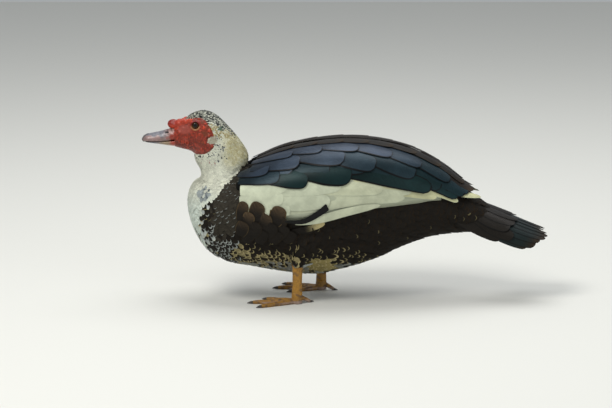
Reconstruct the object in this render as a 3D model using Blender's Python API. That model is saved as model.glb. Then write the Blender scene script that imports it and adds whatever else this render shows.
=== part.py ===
"""Muscovy drake standing at rest with its neck drawn in, a life-size still model in metres, +Z up.

The bird faces -X and its left side is towards -Y. The origin is on the floor, under the middle of its
length. Body, head and tail are forms that stand between a lower and an upper rail seen from the side.
"""

import math
import random

import bmesh
import bpy
import numpy as np
from mathutils import Vector
from mathutils.bvhtree import BVHTree

MM = 0.001
GAP = 0.0003

# A form's rows, in millimetres: lower rail x, z, upper rail x, z, half width, rise of the widest place.
BODY = [
    (-252, 158, -252, 158, 0, 0.0),
    (-249.5, 138, -248, 176, 25, 0.0),
    (-240, 108, -236, 192, 45, 0.0),
    (-219, 76, -205, 200, 61, 0.0),
    (-187, 58, -173, 205, 73, 0.05),
    (-145, 50, -140, 219, 82, 0.12),
    (-100, 42, -95, 237, 88, 0.16),
    (-48, 37, -45, 248, 89, 0.18),
    (5, 48, 10, 252, 87, 0.18),
    (52, 63, 62, 247, 80, 0.16),
    (92, 82, 112, 233, 69, 0.12),
    (130, 96, 155, 209, 56, 0.08),
    (165, 103, 188, 181, 45, 0.0),
    (203, 106, 214, 163, 40, 0.0),
    (236, 110, 240, 143, 28, 0.0),
    (256, 124, 256, 124, 0, 0.0),
]
BODY_POWERS = (0.86, 1.08)
BODY_SIDES = 24
HEAD = [
    (-270, 245, -271, 277, 14.5, -0.1),
    (-259, 242, -258, 287, 18.5, 0.0),
    (-249, 239.5, -243, 298, 21.5, 0.05),
    (-243, 237, -225, 303.5, 24, 0.05),
    (-240, 233, -205, 297, 26, 0.0),
    (-240, 229, -186, 279, 27.5, 0.0),
    (-239, 224, -168, 258, 29, 0.0),
    (-236, 217, -154, 236, 30, 0.0),
    (-231, 209, -154, 218, 31, 0.0),
    (-229, 199, -166, 203, 34, 0.0),
    (-228, 182, -170, 188, 38, 0.0),
    (-222, 160, -165, 165, 40, 0.0),
]
HEAD_POWERS = (0.95, 0.95)
UPPER_BILL = [
    (-271.3, 256.5, -271.3, 276.5, 13.8, -0.35),
    (-281, 255, -281, 273, 12.6, -0.4),
    (-293, 254, -293, 269.5, 12.2, -0.45),
    (-305, 253.8, -305, 267, 12.6, -0.45),
    (-314, 254.2, -314, 264.8, 11.6, -0.4),
    (-320.5, 253.6, -320, 261.5, 7.2, -0.2),
    (-323.4, 256.5, -323.4, 256.5, 0, 0.0),
]
LOWER_BILL = [
    (-271.3, 245.6, -271.3, 255.9, 12.6, 0.45),
    (-283, 247, -283, 254.3, 11.2, 0.45),
    (-296, 249, -296, 253.4, 10.6, 0.45),
    (-309, 250.8, -309, 253.4, 10, 0.4),
    (-316, 252, -316, 253.6, 6.5, 0.3),
    (-318.6, 252.9, -318.6, 252.9, 0, 0.0),
]
BILL_POWERS = (0.9, 0.9)
# The tent that the tail feathers lie on, its ridge the upper rail and its eaves half way down.
TAIL = [
    (160, 84, 172, 192, 43, 0.0),
    (200, 86, 206, 163.5, 39, 0.0),
    (240, 74, 240, 146, 46, 0.0),
    (280, 62, 280, 127, 51, 0.0),
    (323, 56, 318, 110, 50, 0.0),
    (345, 54, 340, 102, 48, 0.0),
]
TAIL_POWERS = (0.9, 0.9)
# The solid root under the tail feathers: its rows along x, its sides' angle, and its depth below the top.
TAIL_CORE_XS = (0.176, 0.191, 0.206, 0.221, 0.236)
TAIL_CORE_SIDE, TAIL_CORE_POINTS = 94, 11
TAIL_CORE_DEPTH = ((0.19, 0.236), (0.05, 0.009))
TAIL_CORE_LEAST = 0.0045
TAIL_ROOT_X, TAIL_ROOT_SINK = 203, -2.6
TAIL_FEATHER_HALF, TAIL_FEATHER_TILT = 9.5, 0.13
# Tail feathers from the middle outwards: angle from the ridge, tip x, height of the tip over the tent.
TAIL_FEATHERS = [
    (0, 313, 3.2),
    (11, 318.5, 1.9),
    (23, 322, 1.6),
    (35, 323, 1.4),
    (48, 319, 1.2),
    (62, 310, 1.0),
    (77, 297, 0.8),
    (94, 281, 0.6),
]

# The folded wing lies on the body: x, angle of its upper edge, height of its lower edge, core thickness.
WING = [
    (-171, 38, 186, 1.0),
    (-158, 26, 175, 3.6),
    (-135, 17, 158, 5.2),
    (-95, 11, 142, 6.0),
    (-60, 9, 138, 6.2),
    (-18, 8, 147, 6.2),
    (30, 8, 158, 6.0),
    (80, 10, 162, 5.2),
    (121, 13, 166, 4.2),
    (160, 17, 167, 3.0),
    (213, 24, 158, 1.0),
]
WING_CORE_END = 152
WING_CORE_ROWS, WING_CORE_COLUMNS, WING_CORE_SPREAD = 16, 9, 1.3
WING_ROOM = 1.4
CROWN_EDGE, CROWN_POWER = 0.25, 0.6
WING_TIP_LIFT, WING_LIFT_FROM, WING_LIFT_TO = 4.5, 130, 213
FEATHER_THICK, TIP_THINNER = 0.75, 0.25
FEATHER_ROOM = 1.3
ROOT_DEPTH = 0.62
PATH_POINTS = 4
NARROW, BROAD = (-1, 1), (-1, 0, 1)
# Outlines of feathers: share of the way to the tip, share of the half width.
LONG = [(0, 0.5), (0.3, 0.9), (0.62, 1.0), (0.88, 0.75), (1.0, 0.2)]
SHORT = [(0, 0.55), (0.45, 1.0), (0.82, 0.84), (1.0, 0.34)]
# Rows of wing feathers: name, count, first root (x, share down the wing), step to the next root,
# first tip, step to the next tip, half width, tilt, height of the first tip and step, outline, columns.
WING_FEATHERS = [
    ("primary", 4, (66, 0.92), (0, -0.11), (155, 0.93), (19.3, -0.14), 9.5, 0.12, 4.4, 1.6, LONG, NARROW),
    ("secondary", 4, (-26, 0.78), (24, -0.07), (86, 0.93), (24, -0.13), 12, 0.11, 6.6, 0.6, LONG, NARROW),
    ("tertial", 3, (22, 0.34), (5, -0.11), (192, 0.40), (-9, -0.15), 13, 0.08, 9.3, 0.9, LONG, NARROW),
    ("greater", 6, (-114, 0.67), (24, -0.02), (-64, 0.93), (24, -0.035), 14, 0.1, 7.6, 0, SHORT, NARROW),
    ("median", 5, (-136, 0.48), (24, -0.01), (-94, 0.72), (24, -0.02), 14, 0.1, 9.2, 0, SHORT, NARROW),
    ("lesser", 2, (-149, 0.30), (19, 0), (-116, 0.52), (19, 0), 12.5, 0.1, 9.4, 0, SHORT, NARROW),
    ("lower scapular", 5, (-138, 0.30), (38, 0), (-88, 0.62), (42, 0.015), 18, 0.06, 10.8, 0, SHORT, BROAD),
    ("middle scapular", 4, (-134, 0.18), (42, 0), (-84, 0.40), (45, 0), 18, 0.06, 11.2, 0, SHORT, NARROW),
    ("upper scapular", 4, (-126, 0.11), (42, 0), (-76, 0.21), (46, 0), 12.5, 0.05, 10.4, 0, SHORT, NARROW),
]

TAIL_CUT = (Vector((0.178, 0, 0.142)), Vector((0.93, 0, -0.37)).normalized())
NAPE_CUT = (Vector((-0.200, 0, 0.238)), Vector((-0.34, 0, 0.94)).normalized())
NECK_CUT = (Vector((-0.196, 0, 0.213)), Vector((-0.05, 0, 1.0)).normalized())
FACE_OUTLINE = [
    (-300, 230),
    (-300, 286),
    (-262, 286.5),
    (-248, 291),
    (-236, 293.5),
    (-225, 290.5),
    (-216, 281),
    (-210, 268),
    (-207, 256),
    (-212, 245),
    (-222, 238.2),
    (-234, 235.5),
    (-246, 226),
]

EYE = Vector((-0.2370, 0.0172, 0.2817))
EYE_RADIUS, EYE_SIDES = 0.0062, 12
LID_HALF_X, LID_HALF_Z, LID_Y, LID_THICK, LID_SIDES = 0.0071, 0.0067, 0.0209, 0.0014, 12
# Lobes of the knob over the bill's base and on to the brows: centre x, y, z and half sizes.
KNOB_LOBES = [
    (-273, 0, 281, 9, 9, 8),
    (-262, 5, 281.5, 9, 8.5, 7.5),
    (-251.5, 12.5, 286, 7, 6, 5.5),
]
CARUNCLE_SEED, CARUNCLE_COUNT = 11, 8
CARUNCLE_CENTRE, CARUNCLE_SPREAD = (-240, 264), (27, 23)
CARUNCLE_RADII, CARUNCLE_SPACING = (2.2, 3.4), 6.2
EYE_CLEARANCE, CREST_CLEARANCE = 10.5, 8
FACE_REACH = 0.06
CHEEK_FOLDS = [(-254, 256), (-248, 254), (-242, 252), (-236, 250), (-230, 249)]
FOLD_HALF = (1.7, 1.8, 6.0)
MOUTH_CORNER = [(-273, 255.5), (-273, 256.8), (-262.5, 257.6)]
MOUTH_DEPTH, MOUTH_REACH = 0.0012, 0.03
NOSTRIL, NOSTRIL_HALF = (-283, 8.3, 269.2), (3.4, 2.2, 1.6)

HEELS = {"left": Vector((-0.076, -0.054, 0)), "right": Vector((-0.037, 0.054, 0))}
SIDES = {"left": -1, "right": 1}
FOOT_TOP = 0.0135
# The ankle under the shank: x behind the heel, height, radius.
ANKLE = [(0.001, 0.0, 0.0080), (0.0, 0.006, 0.0090), (0.0005, 0.016, 0.0084)]
TOES = {"inner": (26, 0.053), "middle": (-2, 0.070), "outer": (-30, 0.065)}
TOE_SHARES = (0.0, 0.3, 0.55, 0.8, 1.0)
TOE_ROOT, TOE_END, TOE_SINK = 0.0048, 0.0032, 0.78
# The hind toe slants down to the floor behind the heel: distance, height, radius.
HIND_TOE = [(0.002, 0.0115, 0.0042), (0.013, 0.0068, 0.0034), (0.0225, 0.0021, 0.0027)]
HIND_TOE_WAY = (0.9, -0.35)
WEB_LOW, WEB_HIGH = 0.0009, 0.0023
WEB_FROM_TIP, WEB_ROOT, WEB_NOTCH, WEB_CURVE = 0.004, 0.12, 0.2, 0.04
CLAW_LENGTH, CLAW_ROOT, CLAW_FLATNESS, HIND_CLAW_SIZE = 0.0095, 0.0024, 0.8, 0.72
# A claw's rows: share of its length, share of the root's radius, share of its drop to the floor.
CLAW = [(0.0, 1.0, 0.0), (0.3, 0.95, 0.0), (0.68, 0.55, 0.45), (1.0, 0.14, 0.9)]
CLAW_TIP_HEIGHT = 0.0012
# The shank: height, radius.
LEG = [
    (0.010, 0.0088),
    (0.022, 0.0082),
    (0.036, 0.0077),
    (0.050, 0.0080),
    (0.060, 0.0090),
    (0.070, 0.0094),
    (0.078, 0.0085),
]
LEG_LEAN, LEG_FLATNESS, LEG_TOP = 0.0215, 0.74, 0.068
# The thigh above the heel: x, distance outwards, height, radius.
THIGH = [
    (0.001, 0.0, 0.058, 0.010),
    (0.003, 0.001, 0.074, 0.015),
    (0.012, 0.001, 0.090, 0.024),
    (0.024, -0.001, 0.108, 0.030),
    (0.036, -0.010, 0.128, 0.026),
]
LEG_ROOM = 1.5 * GAP


def clear_scene():
    for thing in list(bpy.data.objects):
        bpy.data.objects.remove(thing)


def material(name, colour, roughness, metallic=0.0):
    made = bpy.data.materials.new(name)
    made.use_nodes = True
    shader = made.node_tree.nodes["Principled BSDF"]
    shader.inputs["Base Color"].default_value = (*colour, 1)
    shader.inputs["Roughness"].default_value = roughness
    shader.inputs["Metallic"].default_value = metallic
    return made


def read_rows(rows, place):
    """The rows of a table read at fractional row numbers along a smooth curve through them."""
    rows = np.asarray(rows, float)
    place = np.clip(np.asarray(place, float), 0, len(rows) - 1)
    first = np.minimum(place.astype(int), len(rows) - 2)
    t = (place - first)[..., None]
    a, b, c, d = (rows[np.clip(first + k, 0, len(rows) - 1)] for k in (-1, 0, 1, 2))
    return b + 0.5 * t * (c - a + t * (2 * a - 5 * b + 4 * c - d + t * (3 * (b - c) + d - a)))


def on_form(form, powers, place, angle):
    """Points in metres at a row number and an angle in radians from the form's top, right side positive."""
    low_x, low_z, high_x, high_z, half_width, rise = np.moveaxis(read_rows(form, place), -1, 0)
    across, up = np.sin(angle), np.cos(angle)
    power = np.where(up > 0, powers[0], powers[1])
    level = np.sign(up) * np.abs(up) ** power + rise * across**2
    y = half_width * np.sign(across) * np.abs(across) ** power
    x = (low_x + high_x) / 2 + (high_x - low_x) / 2 * level
    z = (low_z + high_z) / 2 + (high_z - low_z) / 2 * level
    return np.stack([x, y, z], -1) * MM


def place_of_x(form, powers, x, angle):
    """The row number at which the form, at this angle, stands at x."""
    x, angle = np.broadcast_arrays(np.asarray(x, float), np.asarray(angle, float))
    low = np.zeros(x.shape)
    high = np.full(x.shape, len(form) - 1.0)
    for _ in range(36):
        middle = (low + high) / 2
        before = on_form(form, powers, middle, angle)[..., 0] < x
        low, high = np.where(before, middle, low), np.where(before, high, middle)
    return (low + high) / 2


def surface(form, powers, x, angle):
    return on_form(form, powers, place_of_x(form, powers, x, angle), angle)


def slopes(form, powers, x, angle, step=0.0012, turn=0.018):
    """How the form's point moves with x and with the angle, for each metre and each radian."""
    by_x = surface(form, powers, x + step, angle) - surface(form, powers, x - step, angle)
    by_angle = surface(form, powers, x, angle + turn) - surface(form, powers, x, angle - turn)
    return by_x / (2 * step), by_angle / (2 * turn)


def outward(form, powers, x, angle):
    """The form's outward unit normal at x and an angle, right side."""
    normal = np.cross(*slopes(form, powers, x, angle))
    return normal / np.linalg.norm(normal, axis=-1, keepdims=True)


def new_object(name, mesh, finish):
    mesh.materials.clear()
    mesh.materials.append(finish)
    thing = bpy.data.objects.new(name, mesh)
    bpy.context.scene.collection.objects.link(thing)
    return thing


def mesh_of(name, bm):
    bmesh.ops.recalc_face_normals(bm, faces=bm.faces)
    bmesh.ops.triangulate(bm, faces=bm.faces)
    mesh = bpy.data.meshes.new(name)
    bm.to_mesh(mesh)
    bm.free()
    mesh.shade_smooth()
    return mesh


def rings_mesh(name, rings):
    """A closed mesh through rings of points, each ring an (n, 3) array; a one-point ring is a pole."""
    bm = bmesh.new()
    made = [[bm.verts.new(p) for p in ring] for ring in rings]
    for a, b in zip(made, made[1:]):
        for k in range(max(len(a), len(b))):
            corners = [a[k % len(a)], a[(k + 1) % len(a)], b[(k + 1) % len(b)], b[k % len(b)]]
            bm.faces.new(dict.fromkeys(corners))
    for ring in (made[0], made[-1]):
        if len(ring) > 1:
            bm.faces.new(ring)
    return mesh_of(name, bm)


def form_mesh(name, form, powers, around, steps, grow=0.0):
    """A closed mesh of a whole form; steps rings for each row, and grow metres fatter all round."""
    rows = np.array(form, float)
    count = (len(rows) - 1) * steps
    angles = np.arange(around) * math.tau / around
    rings = []
    for k in range(count + 1):
        place = k / steps
        ring = on_form(rows, powers, np.full(around, place), angles)
        centre = ring.mean(0)
        if rows[0, 4] == 0 and k == 0 or rows[-1, 4] == 0 and k == count:
            way = np.array([-1.0 if k == 0 else 1.0, 0, 0])
            rings.append((centre + way * grow)[None])
            continue
        spread = ring - centre
        reach = np.linalg.norm(spread, axis=1, keepdims=True)
        rings.append(centre + spread * (1 + grow / reach))
    return rings_mesh(name, rings)


def sheet_mesh(name, top, bottom):
    """A closed thin mesh between two like grids of points, split into triangles alike on both faces."""
    rows, columns = top.shape[:2]
    bm = bmesh.new()
    upper = [[bm.verts.new(p) for p in row] for row in top]
    lower = [[bm.verts.new(p) for p in row] for row in bottom]
    for i in range(rows - 1):
        for j in range(columns - 1):
            for grid in (upper, lower):
                a, b, c, d = grid[i][j], grid[i + 1][j], grid[i + 1][j + 1], grid[i][j + 1]
                bm.faces.new((a, b, c))
                bm.faces.new((a, c, d))
    edge = [(i, 0) for i in range(rows)] + [(rows - 1, j) for j in range(1, columns)]
    edge += [(i, columns - 1) for i in range(rows - 2, -1, -1)]
    edge += [(0, j) for j in range(columns - 2, 0, -1)]
    for (i, j), (k, m) in zip(edge, edge[1:] + edge[:1]):
        bm.faces.new((upper[i][j], upper[k][m], lower[k][m], lower[i][j]))
    return mesh_of(name, bm)


def tube_mesh(name, path, radii, around=6, flatness=1.0):
    """A tapered tube along a path in metres, its rings square to the path, flatness squashing its sides."""
    points = [Vector(p) for p in path]
    first = points[1] - points[0]
    side = first.cross(Vector((0, 0, 1)))
    if side.length < 0.5 * first.length:
        side = Vector((0, 1, 0))
    rings = []
    for k, point in enumerate(points):
        way = (points[min(k + 1, len(points) - 1)] - points[max(k - 1, 0)]).normalized()
        side = (side - way * side.dot(way)).normalized()
        up = side.cross(way)
        turns = [math.tau * (j + 0.5) / around for j in range(around)]
        rings.append([
            point + radii[k] * (side * math.cos(t) * flatness + up * math.sin(t)) for t in turns
        ])
    return rings_mesh(name, rings)


def ball_mesh(name, centre, radii, around=10, levels=6):
    rings = [[Vector(centre) - Vector((0, 0, radii[2]))]]
    for k in range(1, levels):
        tip = math.pi * k / levels
        rings.append([
            Vector(centre)
            + Vector((
                radii[0] * math.sin(tip) * math.cos(math.tau * j / around),
                radii[1] * math.sin(tip) * math.sin(math.tau * j / around),
                -radii[2] * math.cos(tip),
            ))
            for j in range(around)
        ])
    rings.append([Vector(centre) + Vector((0, 0, radii[2]))])
    return rings_mesh(name, rings)


def prism_mesh(name, outline, half_width):
    """An outline of (x, z) in millimetres drawn out to both sides of the middle plane."""
    ends = [[Vector((x * MM, y, z * MM)) for x, z in outline] for y in (-half_width, half_width)]
    return rings_mesh(name, ends)


def cut_plane(thing, point, normal, keep_front):
    """Keeps the part of a thing on one side of a plane, leaving half the gap, and closes it flat."""
    normal = normal if keep_front else -normal
    bm = bmesh.new()
    bm.from_mesh(thing.data)
    everything = bm.verts[:] + bm.edges[:] + bm.faces[:]
    found = bmesh.ops.bisect_plane(
        bm, geom=everything, plane_co=point + normal * GAP / 2, plane_no=normal, clear_inner=True
    )
    rim = [e for e in found["geom_cut"] if isinstance(e, bmesh.types.BMEdge)]
    bmesh.ops.contextual_create(bm, geom=rim)
    bmesh.ops.triangulate(bm, faces=[f for f in bm.faces if len(f.verts) > 3])
    bm.to_mesh(thing.data)
    bm.free()


def keep_largest(thing):
    """Leaves only the largest closed surface of a thing."""
    bm = bmesh.new()
    bm.from_mesh(thing.data)
    groups, seen = [], set()
    for start in bm.verts:
        if start in seen:
            continue
        group, waiting = [], [start]
        seen.add(start)
        while waiting:
            vertex = waiting.pop()
            group.append(vertex)
            for edge in vertex.link_edges:
                other = edge.other_vert(vertex)
                if other not in seen:
                    seen.add(other)
                    waiting.append(other)
        groups.append(group)
    largest = max(groups, key=lambda g: sum(f.calc_area() for f in {f for v in g for f in v.link_faces}))
    doomed = [v for g in groups if g is not largest for v in g]
    bmesh.ops.delete(bm, geom=doomed, context="VERTS")
    bm.to_mesh(thing.data)
    bm.free()


def combine(thing, others, operation, solver="EXACT"):
    """Applies one Boolean of a thing with other objects, removes them, and keeps the largest surface."""
    others = list(others)
    tools = bpy.data.collections.new("tools")
    bpy.context.scene.collection.children.link(tools)
    for other in others:
        bpy.context.scene.collection.objects.unlink(other)
        tools.objects.link(other)
    modifier = thing.modifiers.new("join", "BOOLEAN")
    modifier.operation = operation
    modifier.solver = solver
    modifier.operand_type = "COLLECTION"
    modifier.collection = tools
    graph = bpy.context.evaluated_depsgraph_get()
    graph.update()
    mesh = bpy.data.meshes.new_from_object(thing.evaluated_get(graph))
    thing.modifiers.clear()
    thing.data = mesh
    for other in others:
        bpy.data.objects.remove(other)
    bpy.data.collections.remove(tools)
    keep_largest(thing)
    return thing


def helper(mesh):
    """A mesh's object that only cuts or joins another."""
    thing = bpy.data.objects.new(mesh.name, mesh)
    bpy.context.scene.collection.objects.link(thing)
    return thing


def body_tool(grow):
    return helper(form_mesh("body tool", BODY, BODY_POWERS, BODY_SIDES, 2, grow))


def torso_and_tail(plumage, tail_finish):
    torso = new_object("torso", form_mesh("torso", BODY, BODY_POWERS, BODY_SIDES, 2), plumage)
    cut_plane(torso, *TAIL_CUT, keep_front=False)
    tail = new_object("tail", tail_core("tail"), tail_finish)
    combine(tail, tail_feathers(), "UNION")
    cut_plane(tail, *TAIL_CUT, keep_front=True)


def tail_core(name):
    """The tail's root as one smooth form, hollowed a little from below."""
    angles = np.radians(np.linspace(-TAIL_CORE_SIDE, TAIL_CORE_SIDE, TAIL_CORE_POINTS))
    rings = []
    for x in TAIL_CORE_XS:
        top = surface(TAIL, TAIL_POWERS, x, angles)
        eaves = top[::-1][1:-1]
        under = eaves.copy()
        under[:, 2] = np.maximum(under[:, 2] - np.interp(x, *TAIL_CORE_DEPTH), top[0, 2])
        under[:, 2] = np.minimum(under[:, 2], eaves[:, 2] - TAIL_CORE_LEAST)
        rings.append(np.concatenate([top, under]))
    return rings_mesh(name, rings)


def tail_feathers():
    """Tail feathers fanned over the tent, each lying over the next one outwards."""
    for angle, tip, height in TAIL_FEATHERS:
        tilt = TAIL_FEATHER_TILT if angle else 0
        path = [(TAIL_ROOT_X, angle * 0.93), ((TAIL_ROOT_X + tip) / 2, angle * 0.98), (tip, angle)]
        heights = (TAIL_ROOT_SINK, height)
        shape = (TAIL_FEATHER_HALF, tilt, LONG, NARROW, None)
        top, bottom = vane(TAIL, TAIL_POWERS, path, heights, *shape)
        yield helper(sheet_mesh("tail feather", top, bottom))
        if angle:
            mirror = np.array([1, -1, 1])
            yield helper(sheet_mesh("tail feather", top * mirror, bottom * mirror))


def vane(form, powers, path, heights, half_width, tilt, outline, columns, least):
    """A feather's upper and lower grids of points, laid over a form along a path of x and angle.

    Its height over the form goes from the first of the heights at the root to the last at the tip. Its
    lower edge is raised by the tilt, so that it lies over the next feather down. Millimetres and degrees.
    """
    outline = np.array(outline, float)
    along = outline[:, 0]
    way = read_rows(path, along * (len(path) - 1))
    x, angle = way[:, 0] * MM, np.radians(way[:, 1])
    by_x, by_angle = slopes(form, powers, x, angle)
    centre = surface(form, powers, x, angle)
    normal = np.cross(by_x, by_angle)
    normal /= np.linalg.norm(normal, axis=1, keepdims=True)
    forward = np.gradient(centre, along, axis=0)
    side = np.cross(normal, forward)
    side /= np.linalg.norm(side, axis=1, keepdims=True)
    height = heights[0] + (heights[1] - heights[0]) * along
    top, bottom = [], []
    for part in columns:
        offset = side * (half_width * outline[:, 1] * part * MM)[:, None]
        both = (by_x, by_angle)
        square = np.stack([np.stack([(p * q).sum(1) for q in both], 1) for p in both], 1)
        target = np.stack([(offset * p).sum(1) for p in both], 1)
        move = np.linalg.solve(square, target[..., None])[..., 0]
        place = surface(form, powers, x + move[:, 0], angle + move[:, 1])
        out = outward(form, powers, x + move[:, 0], angle + move[:, 1])
        high = height + tilt * half_width * outline[:, 1] * part + wing_lift(x + move[:, 0], least)
        thick = FEATHER_THICK * (1 - TIP_THINNER * along)
        if least is not None:
            high = np.maximum(high, least + thick)
        top.append(place + out * (high * MM)[:, None])
        bottom.append(place + out * ((high - thick) * MM)[:, None])
    return np.stack(top, 1), np.stack(bottom, 1)


def wing_lift(x, least):
    """How far the wing's end stands off the body, in millimetres; nothing on the tail."""
    if least is None:
        return 0
    return WING_TIP_LIFT * np.clip((x / MM - WING_LIFT_FROM) / (WING_LIFT_TO - WING_LIFT_FROM), 0, 1) ** 2


def head_and_neck(plumage, face_finish):
    """The head and neck made whole, then parted at the nape, half way down the neck and round the face."""
    whole = form_mesh("head", HEAD, HEAD_POWERS, 20, 2)
    head = new_object("head", whole, plumage)
    upper = new_object("neck_upper", whole.copy(), plumage)
    lower = new_object("neck_lower", whole.copy(), plumage)
    cut_plane(head, *NAPE_CUT, keep_front=True)
    cut_plane(upper, *NAPE_CUT, keep_front=False)
    cut_plane(upper, *NECK_CUT, keep_front=True)
    cut_plane(lower, *NECK_CUT, keep_front=False)
    combine(lower, [body_tool(GAP)], "DIFFERENCE")
    face = new_object("face", head.data.copy(), face_finish)
    combine(face, [helper(prism_mesh("mask", FACE_OUTLINE, FACE_REACH))], "INTERSECT")
    growths = [*knob_lobes(), *lid_rings(), *caruncles(face)]
    combine(face, growths, "UNION")
    combine(face, mouth_corners(), "DIFFERENCE")
    middle = np.mean(FACE_OUTLINE, axis=0)
    spread = np.array(FACE_OUTLINE) - middle
    wider = middle + spread * (1 + GAP * 1.4 / MM / np.linalg.norm(spread, axis=1, keepdims=True))
    combine(head, [helper(prism_mesh("mask", wider, FACE_REACH))], "DIFFERENCE")
    combine(head, knob_lobes(GAP), "DIFFERENCE")
    return face


def knob_lobes(grow=0.0):
    """The fleshy knob over the bill's base, as lobes that run into one another and up to the brows."""
    for x, y, z, *half in KNOB_LOBES:
        for sign in (-1, 1) if y else (1,):
            radii = [h * MM + grow for h in half]
            yield helper(ball_mesh("lobe", (x * MM, y * sign * MM, z * MM), radii, 8, 5))


def lid_rings():
    """The lids as a raised ring round each eye."""
    for sign in SIDES.values():
        rings = []
        for k in range(LID_SIDES):
            turn = math.tau * k / LID_SIDES
            out = Vector((math.cos(turn), 0, math.sin(turn)))
            centre = Vector((EYE.x + LID_HALF_X * out.x, LID_Y * sign, EYE.z + LID_HALF_Z * out.z))
            ways = (out, Vector((0, 1, 0)), -out, Vector((0, -1, 0)))
            rings.append([centre + LID_THICK * way for way in ways])
        yield helper(closed_ring_mesh("lid", rings))


def closed_ring_mesh(name, rings):
    bm = bmesh.new()
    made = [[bm.verts.new(p) for p in ring] for ring in rings]
    count = len(made[0])
    for a, b in zip(made, made[1:] + made[:1]):
        for k in range(count):
            bm.faces.new((a[k], a[(k + 1) % count], b[(k + 1) % count], b[k]))
    return mesh_of(name, bm)


def caruncles(face):
    """Bulbs and cheek folds half sunk in the bare skin of both sides, alike but not in the same places."""
    corners = [v.co for v in face.data.vertices]
    skin = BVHTree.FromPolygons(corners, [p.vertices for p in face.data.polygons])
    draw = random.Random(CARUNCLE_SEED)
    for sign in SIDES.values():
        placed = []
        while len(placed) < CARUNCLE_COUNT:
            turn, reach = draw.uniform(0, math.tau), math.sqrt(draw.uniform(0, 1))
            x = CARUNCLE_CENTRE[0] + CARUNCLE_SPREAD[0] * reach * math.cos(turn)
            z = CARUNCLE_CENTRE[1] + CARUNCLE_SPREAD[1] * reach * math.sin(turn)
            radius = draw.uniform(*CARUNCLE_RADII)
            near_eye = math.hypot(x - EYE.x / MM, z - EYE.z / MM) < EYE_CLEARANCE
            crowded = any(math.hypot(x - a, z - b) < CARUNCLE_SPACING for a, b in placed + CHEEK_FOLDS)
            hit = skin.ray_cast(Vector((x * MM, sign * FACE_REACH, z * MM)), Vector((0, -sign, 0)))[0]
            inside = hit is not None and abs(hit.y) > CREST_CLEARANCE * MM
            if near_eye or crowded or not inside:
                continue
            placed.append((x, z))
            yield helper(ball_mesh("bulb", hit, [radius * MM] * 3, 6, 4))
        for x, z in CHEEK_FOLDS:
            hit = skin.ray_cast(Vector((x * MM, sign * FACE_REACH, z * MM)), Vector((0, -sign, 0)))[0]
            yield helper(ball_mesh("fold", hit, [h * MM for h in FOLD_HALF], 6, 4))


def mouth_corners():
    """Wedges that carry the line of the mouth back into the cheeks."""
    for sign in SIDES.values():
        outer = [Vector((x * MM, sign * MOUTH_REACH, z * MM)) for x, z in MOUTH_CORNER]
        inner = [Vector((p.x, sign * (HEAD[0][4] * MM - MOUTH_DEPTH), p.z)) for p in outer]
        yield helper(rings_mesh("mouth corner", [outer, inner]))


def bills(finish):
    upper = new_object("bill_upper", form_mesh("bill_upper", UPPER_BILL, BILL_POWERS, 14, 2), finish)
    new_object("bill_lower", form_mesh("bill_lower", LOWER_BILL, BILL_POWERS, 12, 2), finish)
    x, y, z = NOSTRIL
    nostrils = [
        helper(ball_mesh("nostril", (x * MM, y * sign * MM, z * MM), [h * MM for h in NOSTRIL_HALF], 8, 5))
        for sign in SIDES.values()
    ]
    combine(upper, [*knob_lobes(GAP), *nostrils], "DIFFERENCE")


def angle_at_height(x, z):
    """The angle from the top at which the body's side has a height z at x, both in millimetres."""
    low, high = 0.0, math.pi
    for _ in range(30):
        middle = (low + high) / 2
        if surface(BODY, BODY_POWERS, x * MM, middle)[2] > z * MM:
            low = middle
        else:
            high = middle
    return math.degrees(low)


def wing_edges():
    """The wing's rows as x, angles of its upper and lower edge, and its core's thickness."""
    return np.array([(x, upper, angle_at_height(x, z), thick) for x, upper, z, thick in WING])


def wing_place(edges, x, share):
    """The angle and the core's height at x and a share of the way down the wing."""
    rows = read_rows(edges, np.interp(x, edges[:, 0], np.arange(len(edges))))
    angle = rows[..., 1] + (rows[..., 2] - rows[..., 1]) * share
    crown = CROWN_EDGE + (1 - CROWN_EDGE) * np.sin(np.pi * np.clip(share, 0, 1)) ** CROWN_POWER
    return angle, WING_ROOM + rows[..., 3] * crown


def wing(side, edges, finish):
    """A folded wing: a thin core on the body, with the rows of feathers rooted in it."""
    flip = np.array([1, SIDES[side], 1])
    name = f"wing_{side}"
    start = edges[0, 0]
    xs = start + (WING_CORE_END - start) * np.linspace(0, 1, WING_CORE_ROWS) ** WING_CORE_SPREAD
    x, share = np.meshgrid(xs, np.linspace(0, 1, WING_CORE_COLUMNS), indexing="ij")
    angle, height = wing_place(edges, x, share)
    skin = surface(BODY, BODY_POWERS, x * MM, np.radians(angle))
    out = outward(BODY, BODY_POWERS, x * MM, np.radians(angle))
    low = skin + out * (WING_ROOM + wing_lift(x * MM, 0))[..., None] * MM
    high = skin + out * (height + wing_lift(x * MM, 0))[..., None] * MM
    thing = new_object(name, sheet_mesh(name, high * flip, low * flip), finish)
    feathers = []
    for row, count, root, root_step, tip, tip_step, half, tilt, height, climb, *shape in WING_FEATHERS:
        for k in range(count):
            ends = np.array([root, tip]) + k * np.array([root_step, tip_step])
            way = np.linspace(ends[0], ends[1], PATH_POINTS)
            angles, core = wing_place(edges, way[:, 0], way[:, 1])
            path = np.stack([way[:, 0], angles], 1)
            heights = (core[0] * ROOT_DEPTH, height + climb * k)
            top, bottom = vane(BODY, BODY_POWERS, path, heights, half, tilt, *shape, FEATHER_ROOM)
            feathers.append(helper(sheet_mesh(row, top * flip, bottom * flip)))
    return combine(thing, feathers, "UNION")


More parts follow.
